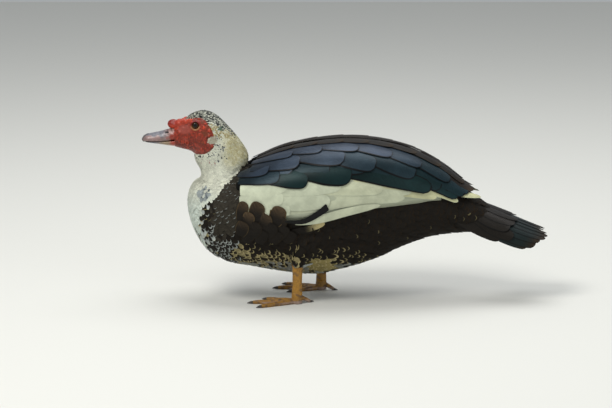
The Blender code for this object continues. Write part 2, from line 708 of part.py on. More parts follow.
def toe_path(heel, side, angle, length):
    """The way of a toe over the floor from the heel; inner toes turn to the bird's middle."""
    turn = math.radians(angle) * -SIDES[side]
    way = Vector((-math.cos(turn), math.sin(turn), 0))
    radii = [TOE_ROOT + (TOE_END - TOE_ROOT) * s for s in TOE_SHARES]
    path = [heel + way * (length * s) + Vector((0, 0, r * TOE_SINK)) for s, r in zip(TOE_SHARES, radii)]
    return path, radii, way


def web_mesh(name, heel, side):
    """The web as a thin flat fan whose free edges curve in between the toes."""
    ends = [heel + toe_path(heel, side, a, l)[2] * (l - WEB_FROM_TIP) for a, l in TOES.values()]
    rim = []
    for a, b in zip(ends, ends[1:]):
        middle = (a + b) / 2 + (heel - (a + b) / 2) * WEB_NOTCH
        inwards = (heel - middle) * WEB_CURVE
        rim += [a, (a + middle) / 2 + inwards, middle, (b + middle) / 2 + inwards]
    rim.append(ends[-1])
    inner = [heel + (p - heel) * WEB_ROOT for p in rim]
    top = np.array([[Vector((p.x, p.y, WEB_HIGH)) for p in row] for row in (inner, rim)])
    bottom = np.array([[Vector((p.x, p.y, WEB_LOW)) for p in row] for row in (inner, rim)])
    return sheet_mesh(name, top, bottom)


def foot(side, finish, claw_finish):
    """The webbed foot with its hind toe, flat where it rests on the floor, and its four claws."""
    heel = HEELS[side]
    ankle = [heel + Vector((x, 0, z)) for x, z, _ in ANKLE]
    name = f"foot_{side}"
    thing = new_object(name, tube_mesh(name, ankle, [r for _, _, r in ANKLE], 10), finish)
    pieces = [web_mesh("web", heel, side)]
    for toe, (angle, length) in TOES.items():
        path, radii, way = toe_path(heel, side, angle, length)
        pieces.append(tube_mesh(toe, path, radii))
        claw(side, toe, path[-1], way, claw_finish)
    back = Vector((HIND_TOE_WAY[0], HIND_TOE_WAY[1] * SIDES[side], 0)).normalized()
    hind = [heel + back * d + Vector((0, 0, z)) for d, z, _ in HIND_TOE]
    pieces.append(tube_mesh("hind toe", hind, [r for _, _, r in HIND_TOE]))
    claw(side, "hind", hind[-1], (hind[-1] - hind[-2]).normalized(), claw_finish, HIND_CLAW_SIZE)
    combine(thing, [helper(mesh) for mesh in pieces], "UNION")
    cut_plane(thing, Vector((0, 0, -GAP / 2)), Vector((0, 0, 1)), keep_front=True)
    cut_plane(thing, Vector((0, 0, FOOT_TOP)), Vector((0, 0, 1)), keep_front=False)


def claw(side, toe, end, way, finish, size=1.0):
    """A curved claw whose flat root faces the toe's flat end."""
    flat = Vector((way.x, way.y, 0)).normalized()
    drop = max(end.z - CLAW_TIP_HEIGHT, 0)
    path = [end + flat * (CLAW_LENGTH * size * a) - Vector((0, 0, drop * d)) for a, _, d in CLAW]
    radii = [CLAW_ROOT * size * r for _, r, _ in CLAW]
    name = f"claw_{side}_{toe}"
    thing = new_object(name, tube_mesh(name, path, radii, 6, CLAW_FLATNESS), finish)
    cut_plane(thing, end + way * GAP / 2, way, keep_front=True)


def leg(side, finish):
    """The bare shank, from the foot up to the feathered thigh."""
    name = f"leg_{side}"
    path = [HEELS[side] + Vector((LEG_LEAN * h, 0, h)) for h, _ in LEG]
    thing = new_object(name, tube_mesh(name, path, [r for _, r in LEG], 10, LEG_FLATNESS), finish)
    cut_plane(thing, Vector((0, 0, FOOT_TOP)), Vector((0, 0, 1)), keep_front=True)
    cut_plane(thing, Vector((0, 0, LEG_TOP)), Vector((0, 0, 1)), keep_front=False)
    combine(thing, [body_tool(LEG_ROOM)], "DIFFERENCE")


def thigh(side, finish):
    """The feathered thigh, swelling out of the flank and closing round the shank's top."""
    name = f"thigh_{side}"
    path = [HEELS[side] + Vector((x, out * SIDES[side], z)) for x, out, z, _ in THIGH]
    thing = new_object(name, tube_mesh(name, path, [r for *_, r in THIGH], 14), finish)
    cut_plane(thing, Vector((0, 0, LEG_TOP)), Vector((0, 0, 1)), keep_front=True)
    combine(thing, [body_tool(LEG_ROOM)], "DIFFERENCE")


def eyes(finish, face):
    """The eyeballs, each in a socket of the face."""
    sockets = []
    for side, sign in SIDES.items():
        centre = Vector((EYE.x, EYE.y * sign, EYE.z))
        name = f"eye_{side}"
        new_object(name, ball_mesh(name, centre, [EYE_RADIUS] * 3, EYE_SIDES, 8), finish)
        sockets.append(helper(ball_mesh("socket", centre, [EYE_RADIUS + GAP] * 3, EYE_SIDES, 8)))
    combine(face, sockets, "DIFFERENCE")


def build():
    clear_scene()
    white = material("white plumage", (0.82, 0.83, 0.80), 0.8)
    dark = material("dark plumage", (0.035, 0.032, 0.028), 0.7)
    gloss = material("glossed plumage", (0.03, 0.06, 0.06), 0.4)
    red = material("red caruncles", (0.60, 0.06, 0.04), 0.5)
    horn = material("bill horn", (0.50, 0.38, 0.36), 0.45)
    yellow = material("yellow leg skin", (0.62, 0.34, 0.05), 0.6)
    nail = material("claw horn", (0.16, 0.12, 0.09), 0.4)
    eye_finish = material("dark eye", (0.05, 0.02, 0.01), 0.05)
    torso_and_tail(dark, gloss)
    face = head_and_neck(white, red)
    bills(horn)
    eyes(eye_finish, face)
    edges = wing_edges()
    for side in SIDES:
        wing(side, edges, gloss)
        foot(side, yellow, nail)
        leg(side, yellow)
        thigh(side, dark)


build()
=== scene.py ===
"""A muscovy drake standing at rest, in metres, +Z up: plumage, bare face, bill, eyes and feet.

The bird faces -X and its left side is towards -Y. Body, head and tail are forms that stand between a
lower and an upper rail seen from the side, and the feathers lie on them.
"""

import math
import random

import bpy
import numpy as np
from mathutils import Matrix, Vector, kdtree, noise
from mathutils.bvhtree import BVHTree


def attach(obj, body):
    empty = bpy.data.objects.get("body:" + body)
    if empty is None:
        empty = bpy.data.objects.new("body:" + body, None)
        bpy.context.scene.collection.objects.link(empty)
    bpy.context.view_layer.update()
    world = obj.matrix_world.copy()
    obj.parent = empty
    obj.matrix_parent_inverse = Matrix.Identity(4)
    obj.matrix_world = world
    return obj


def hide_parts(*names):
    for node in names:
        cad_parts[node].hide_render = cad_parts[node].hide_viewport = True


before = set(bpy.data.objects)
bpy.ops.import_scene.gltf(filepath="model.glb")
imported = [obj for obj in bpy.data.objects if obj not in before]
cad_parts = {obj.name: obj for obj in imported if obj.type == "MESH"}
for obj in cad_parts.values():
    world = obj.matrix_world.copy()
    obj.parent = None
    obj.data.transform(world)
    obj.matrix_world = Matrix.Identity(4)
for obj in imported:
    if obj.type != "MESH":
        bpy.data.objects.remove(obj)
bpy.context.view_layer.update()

MM = 0.001
# How often a search halves its range.
HALVINGS = 30
SIDES = {"left": -1, "right": 1}

# A form's rows, in millimetres: lower rail x, z, upper rail x, z, half width, rise of the widest place.
BODY = [
    (-252, 158, -252, 158, 0, 0.0),
    (-249.5, 138, -248, 176, 25, 0.0),
    (-240, 108, -236, 192, 45, 0.0),
    (-219, 76, -205, 200, 61, 0.0),
    (-187, 58, -173, 205, 73, 0.05),
    (-145, 50, -140, 219, 82, 0.12),
    (-100, 42, -95, 237, 88, 0.16),
    (-48, 37, -45, 248, 89, 0.18),
    (5, 48, 10, 252, 87, 0.18),
    (52, 63, 62, 247, 80, 0.16),
    (92, 82, 112, 233, 69, 0.12),
    (130, 96, 155, 209, 56, 0.08),
    (165, 103, 188, 181, 45, 0.0),
    (203, 106, 214, 163, 40, 0.0),
    (236, 110, 240, 143, 28, 0.0),
    (256, 124, 256, 124, 0, 0.0),
]
BODY_POWERS = (0.86, 1.08)
HEAD = [
    (-270, 245, -271, 277, 14.5, -0.1),
    (-259, 242, -258, 287, 18.5, 0.0),
    (-249, 239.5, -243, 298, 21.5, 0.05),
    (-243, 237, -225, 303.5, 24, 0.05),
    (-240, 233, -205, 297, 26, 0.0),
    (-240, 229, -186, 279, 27.5, 0.0),
    (-239, 224, -168, 258, 29, 0.0),
    (-236, 217, -154, 236, 30, 0.0),
    (-231, 209, -154, 218, 31, 0.0),
    (-229, 199, -166, 203, 34, 0.0),
    (-228, 182, -170, 188, 38, 0.0),
    (-222, 160, -165, 165, 40, 0.0),
]
HEAD_POWERS = (0.95, 0.95)
UPPER_BILL = [
    (-268, 256.5, -268, 277, 14.2, -0.35),
    (-281, 255, -281, 273, 12.6, -0.4),
    (-293, 254, -293, 269.5, 12.2, -0.45),
    (-305, 253.8, -305, 267, 12.6, -0.45),
    (-314, 254.2, -314, 264.8, 11.6, -0.4),
    (-320.5, 253.6, -320, 261.5, 7.2, -0.2),
    (-323.4, 256.5, -323.4, 256.5, 0, 0.0),
]
LOWER_BILL = [
    (-268, 245.4, -268, 255.9, 13.0, 0.45),
    (-283, 247, -283, 254.3, 11.2, 0.45),
    (-296, 249, -296, 253.4, 10.6, 0.45),
    (-309, 250.8, -309, 253.4, 10, 0.4),
    (-316, 252, -316, 253.6, 6.5, 0.3),
    (-318.6, 252.9, -318.6, 252.9, 0, 0.0),
]
BILL_POWERS = (0.9, 0.9)
TAIL = [
    (160, 84, 172, 192, 43, 0.0),
    (200, 86, 206, 163.5, 39, 0.0),
    (240, 74, 240, 146, 46, 0.0),
    (280, 62, 280, 127, 51, 0.0),
    (323, 56, 318, 110, 50, 0.0),
    (345, 54, 340, 102, 48, 0.0),
]
TAIL_POWERS = (0.9, 0.9)
# The folded wing lies on the body: x, angle of its upper edge, height of its lower edge, core thickness.
WING = [
    (-171, 38, 186, 1.0),
    (-158, 26, 175, 3.6),
    (-135, 17, 158, 5.2),
    (-95, 11, 142, 6.0),
    (-60, 9, 138, 6.2),
    (-18, 8, 147, 6.2),
    (30, 8, 158, 6.0),
    (80, 10, 162, 5.2),
    (121, 13, 166, 4.2),
    (160, 17, 167, 3.0),
    (213, 24, 158, 1.0),
]
WING_ROOM = 1.4
WING_TIP_LIFT, WING_LIFT_FROM, WING_LIFT_TO = 4.5, 130, 213
CROWN_EDGE, CROWN_POWER = 0.25, 0.6

# Feathers: share of the way to the tip, share of the half width.
LONG = [(0, 0.5), (0.3, 0.9), (0.62, 1.0), (0.88, 0.75), (0.97, 0.42), (1.0, 0.14)]
SHORT = [(0, 0.55), (0.45, 1.0), (0.72, 0.97), (0.88, 0.76), (0.97, 0.45), (1.0, 0.16)]
ROUND = [(0, 0.6), (0.4, 1.0), (0.75, 0.97), (0.92, 0.66), (1.0, 0.2)]
SMALL_FEATHER = [(0, 0.45), (0.4, 0.95), (0.7, 1.0), (0.9, 0.72), (1.0, 0.25)]
SLIVER = [(0, 0.06), (0.15, 0.5), (0.4, 1.0), (0.75, 0.9), (0.95, 0.4), (1.0, 0.15)]
SLIT = [(0, 0.3), (0.3, 0.7), (0.7, 1.0), (0.92, 1.0), (1.0, 0.75)]
QUILL_ROWS, QUILL_COLUMNS = 13, 7
FEATHER_THICK = 0.5
SHARP_EDGE = 70
CANDIDATES = 5
RIM_SHARE = 0.3
RIM_SIDES, RIM_VARIETY = 0.6, (0.7, 1.15)
ROOT_SINK, LIFT_POWER, CAMBER = -0.0006, 0.8, 0.16
LENGTH_RANGE, WIDTH_RANGE, LIFT_RANGE = (0.85, 1.15), (0.88, 1.12), (0.85, 1.1)
VANE_OFFSET = 0.1
FEATHER_VARIETY, LIE_SPREAD = 0.2, 0.1
VANE_SCALE = 10
COAT_BLUR = 12
AXIS = ([-0.30, -0.20, -0.15, 0.0, 0.25], [0.262, 0.240, 0.140, 0.145, 0.125])
UNWRAP_LEAN, MAP_MARGIN, MAP_PATCH = 0.6, 0.02, 0.003

# The small feathers at places seen from the side: x, z, lie along x and z, length, half width, lift.
COAT = [
    (-264, 291, 0.80, 0.60, 5.5, 0.9, 1.6),
    (-255, 294, 0.80, 0.60, 8.0, 1.0, 3.6),
    (-240, 302, 1.00, 0.15, 9.0, 1.1, 1.6),
    (-210, 299, 0.93, -0.35, 10.0, 1.2, 1.5),
    (-186, 280, 0.55, -0.83, 10.0, 1.5, 1.5),
    (-168, 255, 0.35, -0.94, 11.0, 1.9, 1.4),
    (-156, 228, 0.15, -0.98, 13.0, 2.6, 1.6),
    (-150, 214, 0.60, -0.60, 14.0, 3.0, 1.8),
    (-200, 270, 0.75, -0.66, 7.5, 1.2, 1.1),
    (-200, 245, 0.50, -0.86, 8.0, 1.4, 1.1),
    (-212, 258, 0.98, 0.10, 8.0, 1.3, 2.2),
    (-225, 238, 0.45, -0.90, 6.0, 1.1, 1.0),
    (-240, 228, 0.30, -0.95, 7.0, 1.3, 1.2),
    (-232, 205, 0.10, -1.00, 11.0, 2.2, 1.4),
    (-200, 215, 0.25, -0.97, 12.0, 2.3, 1.3),
    (-244, 180, 0.05, -1.00, 13.0, 3.0, 1.6),
    (-200, 185, 0.35, -0.94, 14.0, 3.2, 1.6),
    (-248, 150, 0.15, -0.99, 14.0, 3.6, 1.7),
    (-236, 105, 0.60, -0.80, 15.0, 4.0, 1.9),
    (-205, 70, 0.95, -0.40, 16.0, 4.4, 2.0),
    (-205, 130, 0.65, -0.75, 15.0, 4.0, 1.9),
    (-165, 160, 0.75, -0.66, 16.0, 4.2, 1.9),
    (-160, 95, 0.92, -0.30, 17.0, 4.8, 2.0),
    (-100, 60, 1.00, -0.05, 18.0, 5.2, 2.0),
    (-100, 120, 0.98, -0.15, 20.0, 5.6, 2.1),
    (0, 60, 1.00, 0.05, 20.0, 5.6, 2.1),
    (0, 120, 1.00, 0.00, 22.0, 6.0, 2.2),
    (90, 100, 0.98, 0.15, 22.0, 5.8, 2.2),
    (170, 120, 1.00, 0.05, 24.0, 6.0, 2.2),
    (-120, 225, 0.95, 0.25, 20.0, 5.2, 2.0),
    (-30, 248, 1.00, 0.02, 24.0, 6.0, 2.2),
    (60, 246, 0.98, -0.15, 26.0, 6.4, 2.3),
    (130, 222, 0.90, -0.42, 28.0, 6.6, 2.3),
    (190, 180, 0.90, -0.42, 30.0, 6.6, 2.3),
]
SPACING_SHARE = 1.12
# How much finer the coat is than its table, low on the body and high on the neck and head.
FINENESS = ([150, 190], [1.04, 0.84])

WHITE = np.array((0.56, 0.57, 0.47))
MIST = np.array((0.36, 0.39, 0.37))
CREAM = np.array((0.40, 0.34, 0.17))
OLIVE = np.array((0.23, 0.19, 0.075))
BLACK = np.array((0.004, 0.004, 0.004))
DARK = np.array((0.010, 0.008, 0.006))
SLATE = np.array((0.0288, 0.0251, 0.0185))
BROWN = np.array((0.055, 0.033, 0.014))
TEAL = np.array((0.005, 0.019, 0.020))
# Painted sheen: the blue that the gloss feathers take high on the folded wing.
GLOSS_SHEEN_BLUE = np.array((0.028, 0.041, 0.064))
GREEN = np.array((0.003, 0.012, 0.007))
WING_WHITE = np.array((0.464, 0.496, 0.368))
FLANK_BROWN = np.array((0.063, 0.042, 0.0234))
FLANK_RIM = np.array((0.075, 0.05, 0.022))

# The edge of the white neck and breast: its height, and x in front of which it is white.
WHITE_EDGE = (
    [60, 72, 98, 129, 156, 171, 203, 214, 226],
    [-206, -208, -222, -228, -222, -200, -172, -160, -144],
)
# The line down to which the flank is plain dark, and below which it is mottled: x and its height.
MOTTLE_LINE = ([-230, -207, -167, -119, -71, -7, 57, 120, 200], [170, 132, 110, 95, 88, 83, 76, 86, 96])
# The crown's lower edge, which ends at a height: x and its height.
CROWN_LINE, CROWN_END = ([-270, -240, -200, -176], [282, 291, 279, 262]), 250
# The oval of pale feathers over the ear, that cuts into the bare face: middle and half sizes, x and z.
EAR, EAR_HALF = (-212, 258.4), (8.6, 7.0)
# Round marks seen from the side: middle and half sizes, x and z.
ROUND_MARKS = {
    "belly patch": (-32, 58, 30, 13),
    "smudge": (-222, 172, 14, 16),
    "green spot": (-196, 276, 7, 4),
    "ear": (*EAR, EAR_HALF[0] + 2, EAR_HALF[1] + 1.5),
}
WOBBLE_SCALE, WOBBLE, WHITE_WOBBLE = 60, 9, 0.6
ALL = (0, 1)
DEEP = (("low", 2, 26), ("x", 40, -10))
SLATE_AREA = (("x", -214, -200), ("x", -145, -160), ("z", 98, 122))
WHITE_AREA = (("white", -2, 4),)
LOW_WHITE = (*WHITE_AREA, ("z", 124, 78))
THROAT = (("z", 252, 240), ("z", 212, 226), ("x", -188, -204))
# Markings, each laid over those before it: measures with where they start and are full, the share of the
# feathers there that take it, the second draw's range, colour, edge colour, edge width.
BODY_MARKS = [
    ((("z", 205, 225),), 1, ALL, DARK * 1.2, BROWN, 0.25),
    ((("z", 150, 149.9),), 1, (0.93, 1), None, CREAM * 0.25, None),
    ((("low", -16, 14), ("x", 90, 30)), 0.75, ALL, DARK, CREAM * 0.55, 0.3),
    (DEEP, 0.94, ALL, DARK * 1.6, CREAM * 0.85, 0.5),
    (DEEP, 1, (0, 0.2), CREAM * 0.5, None, None),
    ((*DEEP, ("z", 70, 54)), 0.6, ALL, MIST * 0.42 + CREAM * 0.12, MIST * 0.8, 0.4),
    ((("ragged x", -158, -188), ("z", 160, 120)), 0.9, ALL, DARK * 1.5, MIST * 0.75, 0.44),
    (SLATE_AREA, 1, ALL, SLATE, SLATE * 1.5, 0.2),
    (SLATE_AREA, 1, (0, 0.25), None, MIST * 0.6, None),
    ((("belly patch", -0.1, 0.25),), 1, ALL, OLIVE, CREAM * 0.9, 0.35),
    ((("front", -14, 2), ("z", 170, 140)), 0.4, ALL, MIST, WHITE * 0.8, 0.3),
    (WHITE_AREA, 1, ALL, WHITE, WHITE * 0.9, 0.14),
]
BREAST_MARKS = [
    (LOW_WHITE, 0.6, ALL, MIST * 0.55, WHITE * 0.9, 0.36),
    (LOW_WHITE, 0.32, ALL, DARK * 2, WHITE * 0.8, 0.4),
    ((("smudge", 0, 0.6),), 0.7, ALL, (0.24, 0.27, 0.27), MIST * 0.9, 0.3),
    ((("smudge", 0.2, 0.8),), 0.3, ALL, (0.10, 0.12, 0.13), MIST * 0.7, 0.3),
]
HEAD_MARKS = [
    ((("x", -216, -208), ("x", -172, -184), ("z", 255, 264)), 0.6, ALL, CREAM * 0.95, CREAM * 0.35, 0.32),
    ((("green spot", 0, 0.4),), 1, ALL, (0.12, 0.17, 0.12), (0.06, 0.09, 0.07), 0.3),
    ((("crown", -3, 5),), 0.9, ALL, WHITE * 0.66, MIST * 0.25, 0.24),
    ((("crown", -3, 5),), 0.5, ALL, BLACK * 4, MIST * 0.5, 0.2),
    (THROAT, 0.2, ALL, BLACK * 10, MIST, 0.4),
    (THROAT, 0.1, ALL, (0.37, 0.27, 0.23), MIST, 0.3),
    ((("z", 225, 232), ("z", 268, 260), ("x", -182, -196)), 0.16, ALL, BLACK * 9, MIST, 0.4),
    ((("ear", -0.05, 0.05),), 1, ALL, (0.40, 0.37, 0.29), (0.26, 0.23, 0.17), 0.25),
]
# The white's tints: bluer and darker down the breast as painted shade, tawny on the nape, where the second
# draw varies it.
BREAST_SHADE_TINT, BLUISH_FROM, BLUISH_TO = np.array((0.78, 0.95, 1.12)), 190, 140
TAWNY, NAPE_X, NAPE_Z = np.array((0.40, 0.37, 0.22)), (-200, -178), (205, 230)
TAWNY_LEAST, TAWNY_SPREAD = 0.45, 0.9
PLAIN_EDGE, PLAIN_RIM = 0.22, BROWN * 0.3
SKIN_CHANCE, SKIN_SECOND = 0.5, 0.9


def measures_of(points):
    """Measures that the markings go by, in millimetres: places, distances past ragged lines, round marks."""
    x, _, z = (points / MM).T
    wobble = noise_at(points, WOBBLE_SCALE) * WOBBLE
    front = np.interp(z, *WHITE_EDGE) - x
    found = {
        "x": x,
        "z": z,
        "ragged x": x - wobble,
        "low": np.interp(x, *MOTTLE_LINE) - z + wobble,
        "front": front + wobble,
        "white": front + wobble * WHITE_WOBBLE,
        "crown": np.where(z > CROWN_END, z - np.interp(x, *CROWN_LINE), -CROWN_END),
    }
    for name, place_and_size in ROUND_MARKS.items():
        found[name] = 1 - oval(x, z, *place_and_size)
    return found


def marks(points, draw):
    """The plumage's colour, its feathers' edge colour and how wide that edge is, at places on the bird."""
    count = len(points)
    measures = measures_of(points)
    chance = draw.random(count) if draw else np.full(count, SKIN_CHANCE)
    second = draw.random(count) if draw else np.full(count, SKIN_SECOND)
    colour, fringe = np.tile(DARK, (count, 1)), np.tile(PLAIN_RIM, (count, 1))
    edge = np.full(count, PLAIN_EDGE)

    def lay(markings):
        for area, share, (least, most), *values in markings:
            strength = math.prod(soft_step(measures[name], low, high) for name, low, high in area) * share
            chosen = (strength > chance) & (second >= least) & (second < most)
            for kept, value in zip((colour, fringe, edge), values):
                if value is not None:
                    kept[chosen] = value

    lay(BODY_MARKS)
    white = soft_step(measures["white"], *WHITE_AREA[0][1:])
    # Painted shade: the white turns bluer and darker down the breast.
    breast_shade = 0.5 * (soft_step(measures["z"], BLUISH_FROM, BLUISH_TO) * white)[:, None]
    colour[:] = blend(colour, colour * BREAST_SHADE_TINT, breast_shade)
    lay(BREAST_MARKS)
    nape = soft_step(measures["x"], *NAPE_X) * soft_step(measures["z"], *NAPE_Z)
    shade = (TAWNY / WHITE) ** (nape * (TAWNY_LEAST + TAWNY_SPREAD * second))[:, None]
    shade = np.where(white[:, None] > 0.5, shade, 1)
    colour[:], fringe[:] = colour * shade, fringe * shade
    lay(HEAD_MARKS)
    return colour, fringe, edge


HEELS = {"left": np.array((-0.076, -0.054, 0)), "right": np.array((-0.037, 0.054, 0))}
# The thigh above the heel: x, distance outwards, height, radius.
THIGH = [
    (0.001, 0.0, 0.058, 0.010),
    (0.003, 0.001, 0.074, 0.015),
    (0.012, 0.001, 0.090, 0.024),
    (0.024, -0.001, 0.108, 0.030),
    (0.036, -0.010, 0.128, 0.026),
]
SKIN_CELL, SKIN_SMOOTH = 0.003, 3
BODY_SIDES, HEAD_SIDES, THIGH_SIDES, FORM_STEPS = 64, 48, 32, 6
COAT_DEPTH, SKIN_SHADE = 1.0, 0.8
COAT_SEED = 5
# The folded wing's upper edge on the body: x and its height.
WING_TOP_X = [-171, -135, -95, -18, 80, 140]
WING_TOP_Z = [200, 214, 228, 240, 230, 205]
# The bare face's edge on each side of the head: x and height.
FACE_OUTLINE = [
    (-300, 235),
    (-300, 285),
    (-264, 285),
    (-252, 287),
    (-236, 292.5),
    (-225, 290.5),
    (-216, 281),
    (-210, 268),
    (-207, 256),
    (-212, 245),
    (-222, 238.2),
    (-234, 236.0),
    (-246, 235.5),
]
FACE_SINK, FACE_ABOVE = 6, 0.2
# Where no feather grows under the wing: first and last x, distance inside the wing's lower and upper edge.
WING_HIDES = (-158, 140, 7, 8)
# Where the coat's pieces meet, in metres: heights of head, neck and back, x of neck, breast and last feather.
HEAD_FROM, NECK_FROM, BACK_FROM = 0.236, 0.150, 0.160
NECK_BEFORE, BREAST_BEFORE, COAT_END = -0.146, -0.120, 0.215
# In metres: x in front of which, and height over which, the bare face's outline counts, and the bill's root.
FACE_BEFORE, FACE_LOWEST, BILL_FROM, FACE_MARGIN = -0.19, 0.22, -0.268, 0.8
RAGGED_SCALE, RAGGED_EDGE = 320, 3.0

# The folded wing's feathers and the flank's over its front, by finish and outline: x and angle from the
# top at the root, middle and tip, half width, height of the tip over the body.
WING_FEATHERS = [
    ("white", LONG, [
        (-118, 90, -10, 89, 92, 86, 10, 6.2),
        (-130, 82, -10, 82, 102, 80, 10, 6.3),
        (-140, 74, -5, 75, 112, 74, 10, 6.4),
        (-145, 66, 0, 67, 118, 68, 10, 6.5),
        (50, 83, 106, 82, 144, 79, 6, 5.6),
        (70, 77, 130, 73, 176, 66, 5.5, 5.8),
        (80, 66, 156, 57, 212, 34, 5.5, 6.4),
    ]),
    ("white", SHORT, [
        (-164, 84, -126, 86, -86, 91, 13, 6.4),
        (-164, 70, -136, 74, -96, 80, 14, 6.6),
        (-164, 56, -130, 62, -90, 68, 15, 6.8),
    ]),
    ("white", LONG, [
        (-120, 82, -70, 85, -24, 87, 13, 6.5),
        (-124, 68, -66, 72, -6, 75, 14, 6.7),
        (-60, 76, 0, 78, 58, 80, 12, 6.5),
        (10, 70, 64, 73, 112, 73, 10, 6.6),
    ]),
    ("white", SLIVER, [
        (-78, 103, -22, 99, 54, 93, 6.5, 7.4),
    ]),
    ("dark", SLIT, [
        (-94, 99.5, -64, 101, -27, 91, 4.6, 8.0),
    ]),
    ("gloss", SHORT, [
        (-150, 36, -116, 42, -80, 50, 16, 7.6),
        (-112, 46, -70, 52, -24, 57, 17, 7.6),
        (-64, 46, -18, 52, 34, 58, 17, 7.6),
        (-4, 46, 44, 54, 96, 60, 17, 7.6),
        (50, 46, 104, 55, 150, 60, 15, 7.4),
    ]),
    ("gloss", LONG, [
        (-48, 54, 50, 65, 134, 70, 15, 8.9),
    ]),
    ("gloss", SHORT, [
        (-76, 55, -34, 60, 10, 68, 19, 8.3),
        (-124, 54, -92, 60, -58, 69, 15, 8.5),
        (-166, 40, -136, 47, -101, 58, 14, 8.7),
    ]),
    ("gloss", LONG, [
        (40, 52, 118, 58, 176, 58, 13, 7.6),
        (40, 42, 118, 49, 186, 47, 13, 7.8),
        (40, 34, 122, 40, 193, 37, 13, 7.8),
    ]),
    ("back", LONG, [
        (50, 25, 130, 29, 199, 25, 12, 7.8),
        (60, 15, 136, 18, 201, 15, 12, 7.6),
    ]),
    ("gloss", SHORT, [
        (14, 38, 62, 47, 110, 57, 17, 8.4),
        (-38, 38, 4, 45, 48, 55, 18, 8.7),
        (-88, 30, -46, 38, 1, 47, 19, 9.0),
        (-146, 28, -108, 36, -70, 45, 18, 9.2),
        (-166, 26, -142, 34, -116, 43, 14, 9.4),
        (66, 25, 118, 34, 164, 41, 14, 8.6),
        (24, 22, 70, 30, 118, 40, 15, 8.8),
        (-20, 20, 26, 27, 74, 36, 15, 9.0),
        (-64, 18, -22, 24, 22, 32, 15, 9.2),
        (-108, 16, -72, 23, -34, 31, 15, 9.4),
        (-144, 14, -112, 21, -80, 30, 14, 9.5),
    ]),
    ("back", SHORT, [
        (100, 10, 144, 13, 184, 18, 13, 8.8),
        (64, 9, 108, 13, 148, 19, 13, 9.0),
        (28, 8, 72, 12, 112, 18, 13, 9.1),
        (-8, 7, 34, 11, 76, 17, 13, 9.2),
        (-44, 7, -4, 11, 38, 16, 13, 9.3),
        (-80, 7, -42, 11, -2, 15, 12, 9.4),
        (-112, 6, -78, 10, -42, 14, 12, 9.5),
        (-136, 5, -110, 8, -78, 12, 11, 9.6),
    ]),
    ("tip", ROUND, [
        (-84, 111, -58, 109, -31, 105, 5.5, 4.6),
    ]),
    ("flank", ROUND, [
        (-100, 113, -76, 112, -50, 109, 8, 4.4),
        (-165, 90, -161, 82, -156, 73, 9, 8.4),
        (-143, 95, -138, 86, -132, 78, 12, 8.8),
        (-111, 102, -106, 94, -101, 86, 12.5, 8.8),
        (-157, 101, -152, 92, -147, 85, 10, 8.2),
        (-133, 106, -127, 98, -120, 90, 11, 8.4),
        (-108, 108, -102, 101, -95, 95, 9, 8.0),
        (-165, 108, -161, 100, -157, 92, 10, 7.6),
        (-147, 112, -142, 104, -137, 96, 10.5, 7.8),
        (-124, 114, -119, 107, -112, 100, 11, 7.8),
        (-104, 116, -98, 110, -91, 104, 9, 7.0),
        (-157, 118, -152, 110, -147, 102, 10, 6.6),
        (-136, 120, -131, 113, -126, 106, 10, 6.6),
        (-114, 121, -109, 115, -103, 109, 10, 6.2),
        (-94, 121, -87, 116, -80, 110, 9, 5.6),
    ]),
]
FEATHER_RISE = {"white": 0.011, "gloss": 0.02, "back": 0.02, "dark": 0.01, "flank": 0.3, "tip": 0.05}
FRONT_ROOTS = ([-170, -140], [5.4, 9.0])
WING_SEED = 21
FEATHER_TILT = {"white": 0.025, "gloss": 0.06, "back": 0.05, "dark": 0.0, "flank": 0.02, "tip": 0.0}
# Tail feathers on the tail's form: angle from the top, x of the tip, height of the tip over the form.
TAIL_FEATHERS = [
    (0, 313, 3.2),
    (11, 318.5, 1.9),
    (23, 322, 1.6),
    (35, 323, 1.4),
    (48, 319, 1.2),
    (62, 310, 1.0),
    (77, 303, 0.8),
    (88, 290, 0.4),
]
TAIL_ROOT_X, TAIL_ROOT_SINK = 203, -2.6
TAIL_FEATHER_HALF, TAIL_FEATHER_TILT = 11, 0.1
# Share of a tail feather's angle that its root and its middle have.
TAIL_SPREAD, COVERT_SPREAD = (0.93, 0.98), (0.95, 1)
# Feathers over the tail's root: angle, x of the tip, height of the tip, half width.
TAIL_COVERTS = [
    (0, 268, 3.6, 13),
    (20, 276, 3.2, 13),
    (40, 270, 3.0, 13),
    (60, 262, 2.8, 12),
    (78, 268, 2.2, 10),
    (96, 246, 1.4, 9),
]
TAIL_COVERT_LENGTH = 66
QUILL_CAMBER, QUILL_TIP_RIM = 0.06, 5
# Rows crowd towards the tip by this power, and a feather fills this share of its cell of the map.
QUILL_CROWDING, CELL_SHARE, CELL_MARGIN = 1.35, 0.92, 0.04
PATH_SPREAD = (0.6, 0.3)
WING_CORE_END, CORE_ROWS, CORE_COLUMNS, CORE_CROWDING = 152, 24, 13, 1.3
CORE_SUNK, CORE_UNDER, CORE_WHITE = 1.2, 0.001, (62, 70)
# The rear of the wing's white: a creamy tint, darkened as painted shade.
WING_CREAM_IN_SHADE = np.array((0.454, 0.451, 0.267))
PIECE_OF = {"dark": "back", "tip": "flank"}
BACK_BROWN = np.array((0.011, 0.009, 0.007))
TAIL_TEAL = np.array((0.008, 0.014, 0.014))

# Where the large feathers' colours change: x in millimetres, angles in degrees, shares of their length.
TONE_VARIETY, FLANK_VARIETY = 0.05, 0.2
# Where the white runs into cream, and the gloss feathers' painted blue sheen: x where it fades, how much of
# it fades, and the angles where it starts and is full.
CREAM_X, SHEEN_X, SHEEN_LOSS = (-60, 110), (30, 110), 0.7
SHEEN_ANGLE, GREEN_ANGLE = (62, 28), (58, 80)
ROOT_SHADE, ROOT_FADE = 0.55, (0.25, 0.7)
FLANK_LOW, FLANK_TIP = (92, 106), (0.35, 1.0)
